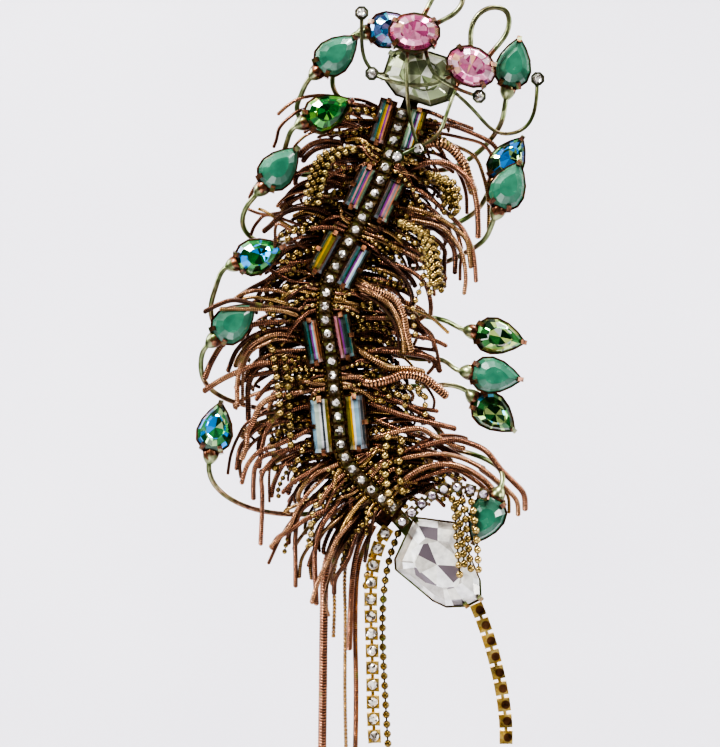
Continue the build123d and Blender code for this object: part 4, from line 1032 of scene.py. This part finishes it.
sides = (("left", -1, left_locks, left_strands, 5), ("right", 1, right_locks, right_strands, 8))
for word, side, locks, rows, seed in sides:
    under = thatch(locks, side, 125, (0.3, 0.7), (0.9, 1.0, 1.2), (5.0, 6.6), (0.1, 0.6), seed)
    under += thatch(locks, side, 60, (0.6, 1.0), (1.0, 1.2, 1.3, 1.6), (6.4, 8.4), (0.05, 0.85), seed + 1)
    under += thatch(locks, side, 110, (0.28, 0.6), (1.5, 1.8), (4.8, 5.8), (0.1, 0.5), seed + 6, bed_chain)
    over = traced(rows, side) + [snake_chain(*row) for row in over_the_rail(side, (1.1, 1.3, 1.6), seed + 2)]
    hang_chains(f"fringe_{word}_under", under, chain_copper, [f"fringe_{word}"])
    hang_chains(f"fringe_{word}_over", over, chain_copper, [f"fringe_{word}"])


# Ball chain is pressed brass balls on short pins. It hangs in tassels at the neck, over the tail
# stone and among the snake chains.
brass_tones = "584626 7c683a 9c8450 bea468 847646"
ball_brass = chain_finish("ball_brass", brass_tones, "1c140b", "56622e", 0.06, 0.14)


def ball_chain(points, ball_mm, tone, spacing=1.25):
    """A strand of ball chain, its balls faceted by wear and painted darker towards the pins where they meet,
    as patina and painted shade.
    """
    radius = ball_mm / 2000
    pitch = ball_mm * spacing / 1000
    share = radius / pitch
    # Each row: share of the ball, size, and how bright its colour is painted, darker at the joins as patina
    # and painted shade
    half_ball = [(0.3, 0.97, 1.0), (0.8, 0.62, 0.5), (1.0, 0.22, 0.0)]
    ball = [(-place, size, bright) for place, size, bright in reversed(half_ball)] + half_ball
    link = [(0.5 + share * place, radius * size, bright) for place, size, bright in ball]
    return chain_skin(points, link, pitch, tone, 8)


# The single strands: across and up in shares of 1.15 mm, and height in mm
ball_routes = [
    [(10.6, -76.8, 3.8), (8.2, -84.0, 3.8), (6.8, -92.0, 3.4), (6.4, -103.0, 2.0), (7.0, -117.0, 1.6),
        (7.9, -133.0, 1.6)],
    [(6.4, -78.0, 1.6), (3.4, -84.5, 1.4), (1.9, -93.5, 1.6)],
    [(22.6, -66.2, 10.6), (23.9, -71.0, 14.0), (24.6, -79.0, 14.0), (25.5, -89.7, 14.4)],
    [(25.0, -66.6, 11.6), (26.3, -71.4, 15.6), (27.2, -79.0, 16.0), (28.2, -88.2, 15.8)],
    [(24.0, -69.0, 15.6), (25.0, -73.0, 17.2), (25.7, -79.0, 17.6), (26.6, -87.0, 17.2)],
    [(27.4, -66.8, 12.6), (28.5, -71.4, 16.4), (29.4, -79.0, 16.8), (29.8, -86.0, 16.4)],
    [(7.7, -52.5, 12.0), (6.9, -61.0, 12.4), (8.6, -72.0, 12.8)],
    [(11.2, -53.5, 11.0), (10.4, -62.0, 11.2), (11.8, -69.5, 11.2)],
    [(-21.0, -31.0, 11.4), (-19.6, -40.0, 11.6), (-18.6, -50.0, 11.4)],
    [(-18.0, -33.0, 11.4), (-16.8, -43.0, 11.6), (-16.2, -58.0, 11.4)],
]
# The tassels: half width in mm, then the route of the middle strand in the same measures
tassel_routes = [
    (3.0, [(-0.5, 17.5, 13.2), (-7.5, 14.5, 13.6), (-10.8, 4.0, 13.2)]),
    (3.0, [(18.2, 11.0, 13.2), (22.6, 8.4, 13.4), (23.8, 0.5, 13.4)]),
    (2.5, [(10.5, -0.5, 12.6), (17.5, -5.0, 12.6), (20.0, -18.0, 12.4)]),
]
tassel_strands = 13
tassel_turn = 2.4
tassel_rim = 0.6
tassel_widths = (0.5, 1.0, 1.25)
chance = random.Random(21)
strands = []
for points in ball_routes:
    strands.append(ball_chain([on_brooch(*point) for point in points], 2.2, chance.random()))
for half_width, points in tassel_routes:
    for number in range(tassel_strands):
        turn = number * tassel_turn
        away = (half_width - tassel_rim) * math.sqrt((number + 0.5) / tassel_strands)
        shift = np.array([math.cos(turn), 0.9 * math.sin(turn), 0.4 * math.sin(turn * 2)]) * away / 1000
        path = [on_brooch(*point) + shift * width for point, width in zip(points, tassel_widths)]
        path[-1][2] += chance.uniform(-0.002, 0.003)
        strands.append(ball_chain(path, 1.8, chance.random()))
hang_chains("ball_chains", strands, ball_brass, ["ball_strands"])

# The balls among the snake chains, and a fine chain along each side of the spine's cup chain
fringe_middle = -2.5
loose_size = 0.88
loose_spacing = 1.45
fine_steps = 24
fine_side = 2.05
fine_high = 9.05
for word, side, locks, rows, seed in sides:
    strands = thatch(locks, side, 46, (0.25, 0.75), (1.5, 1.8), (7.4, 9.6), (0.0, 0.5), seed + 3, ball_chain)
    strands += [ball_chain(*row) for row in over_the_rail(side, (1.2, 1.5), seed + 4)[::2]]
    steps = [number / fine_steps for number in range(fine_steps + 1)]
    beside_cups = [beside_spine(step, side * fine_side, fine_high) for step in steps]
    strands.append(ball_chain(beside_cups, 1.0, 0.2, 1.4))
    for diameter, tone, crest, places in fringe_balls:
        if side * (places[-1][0] - fringe_middle) > 0:
            route = out_from_under(flat_places(places), side, crest, 1.0)
            strands.append(ball_chain(route, diameter * loose_size, tone, loose_spacing))
    hang_chains(f"fringe_{word}_balls", strands, ball_brass, [f"fringe_{word}"])


# The long strands are three snake chains and two box chains of the same copper. They are sewn on
# behind the last strands of the fringe and hang loose below the tail.
def box_chain(points, diameter, tone):
    """A strand of box chain, of square links on thin necks, the necks painted dark as patina and painted
    shade; its diameter is in mm.
    """
    radius = diameter / 2000
    neck = 0.00034
    link = [(0.05, neck, 0.0), (0.15, radius, 1.0), (0.85, radius, 1.0), (0.95, neck, 0.0)]
    return chain_skin(points, link, 0.0011, tone, 4)


long_routes = [
    (snake_chain, 2.6, 0.35, [(-1.2, -73.0, 2.4), (-5.0, -79.0, 2.4), (-7.8, -87.0, 2.0),
        (-8.3, -101.0, 1.8), (-8.5, -117.0, 2.0), (-8.7, -133.0, 1.8)]),
    (box_chain, 1.16, 0.8, [(0.4, -73.6, 2.4), (-3.6, -79.8, 2.4), (-5.7, -88.0, 1.8),
        (-5.6, -96.0, 1.6), (-5.9, -104.6, 1.6)]),
    (box_chain, 1.16, 0.8, [(2.0, -74.2, 2.4), (-1.4, -80.4, 2.4), (-3.0, -88.0, 1.6),
        (-2.9, -100.0, 1.2), (-3.0, -117.0, 1.4), (-2.7, -133.0, 1.2)]),
    (snake_chain, 1.8, 0.35, [(3.0, -75.2, 2.4), (0.4, -81.0, 3.0), (-1.0, -88.0, 3.8),
        (-1.6, -98.0, 3.8), (-1.9, -107.2, 3.6)]),
    (snake_chain, 1.6, 0.35, [(4.4, -76.0, 2.4), (1.6, -82.0, 2.0), (0.0, -89.0, 1.4),
        (-0.4, -102.0, 1.6), (-0.2, -118.0, 1.4), (-0.4, -133.0, 1.6)]),
]
strands = []
for drawn, diameter, tone, points in long_routes:
    strands.append(drawn([on_brooch(*point) for point in points], diameter, tone))
hang_chains("long_chains", strands, chain_copper, ["long_strands"])


# The pin is a plain bar and stem of brass, on posts soldered to the back of the plate. It is one
# closed piece, and its brass has dulled evenly.
finish_node("brooch_pin", plated("pin_brass", "c9b070", "8a7440", "6a5a34", 0.006, 0.2))
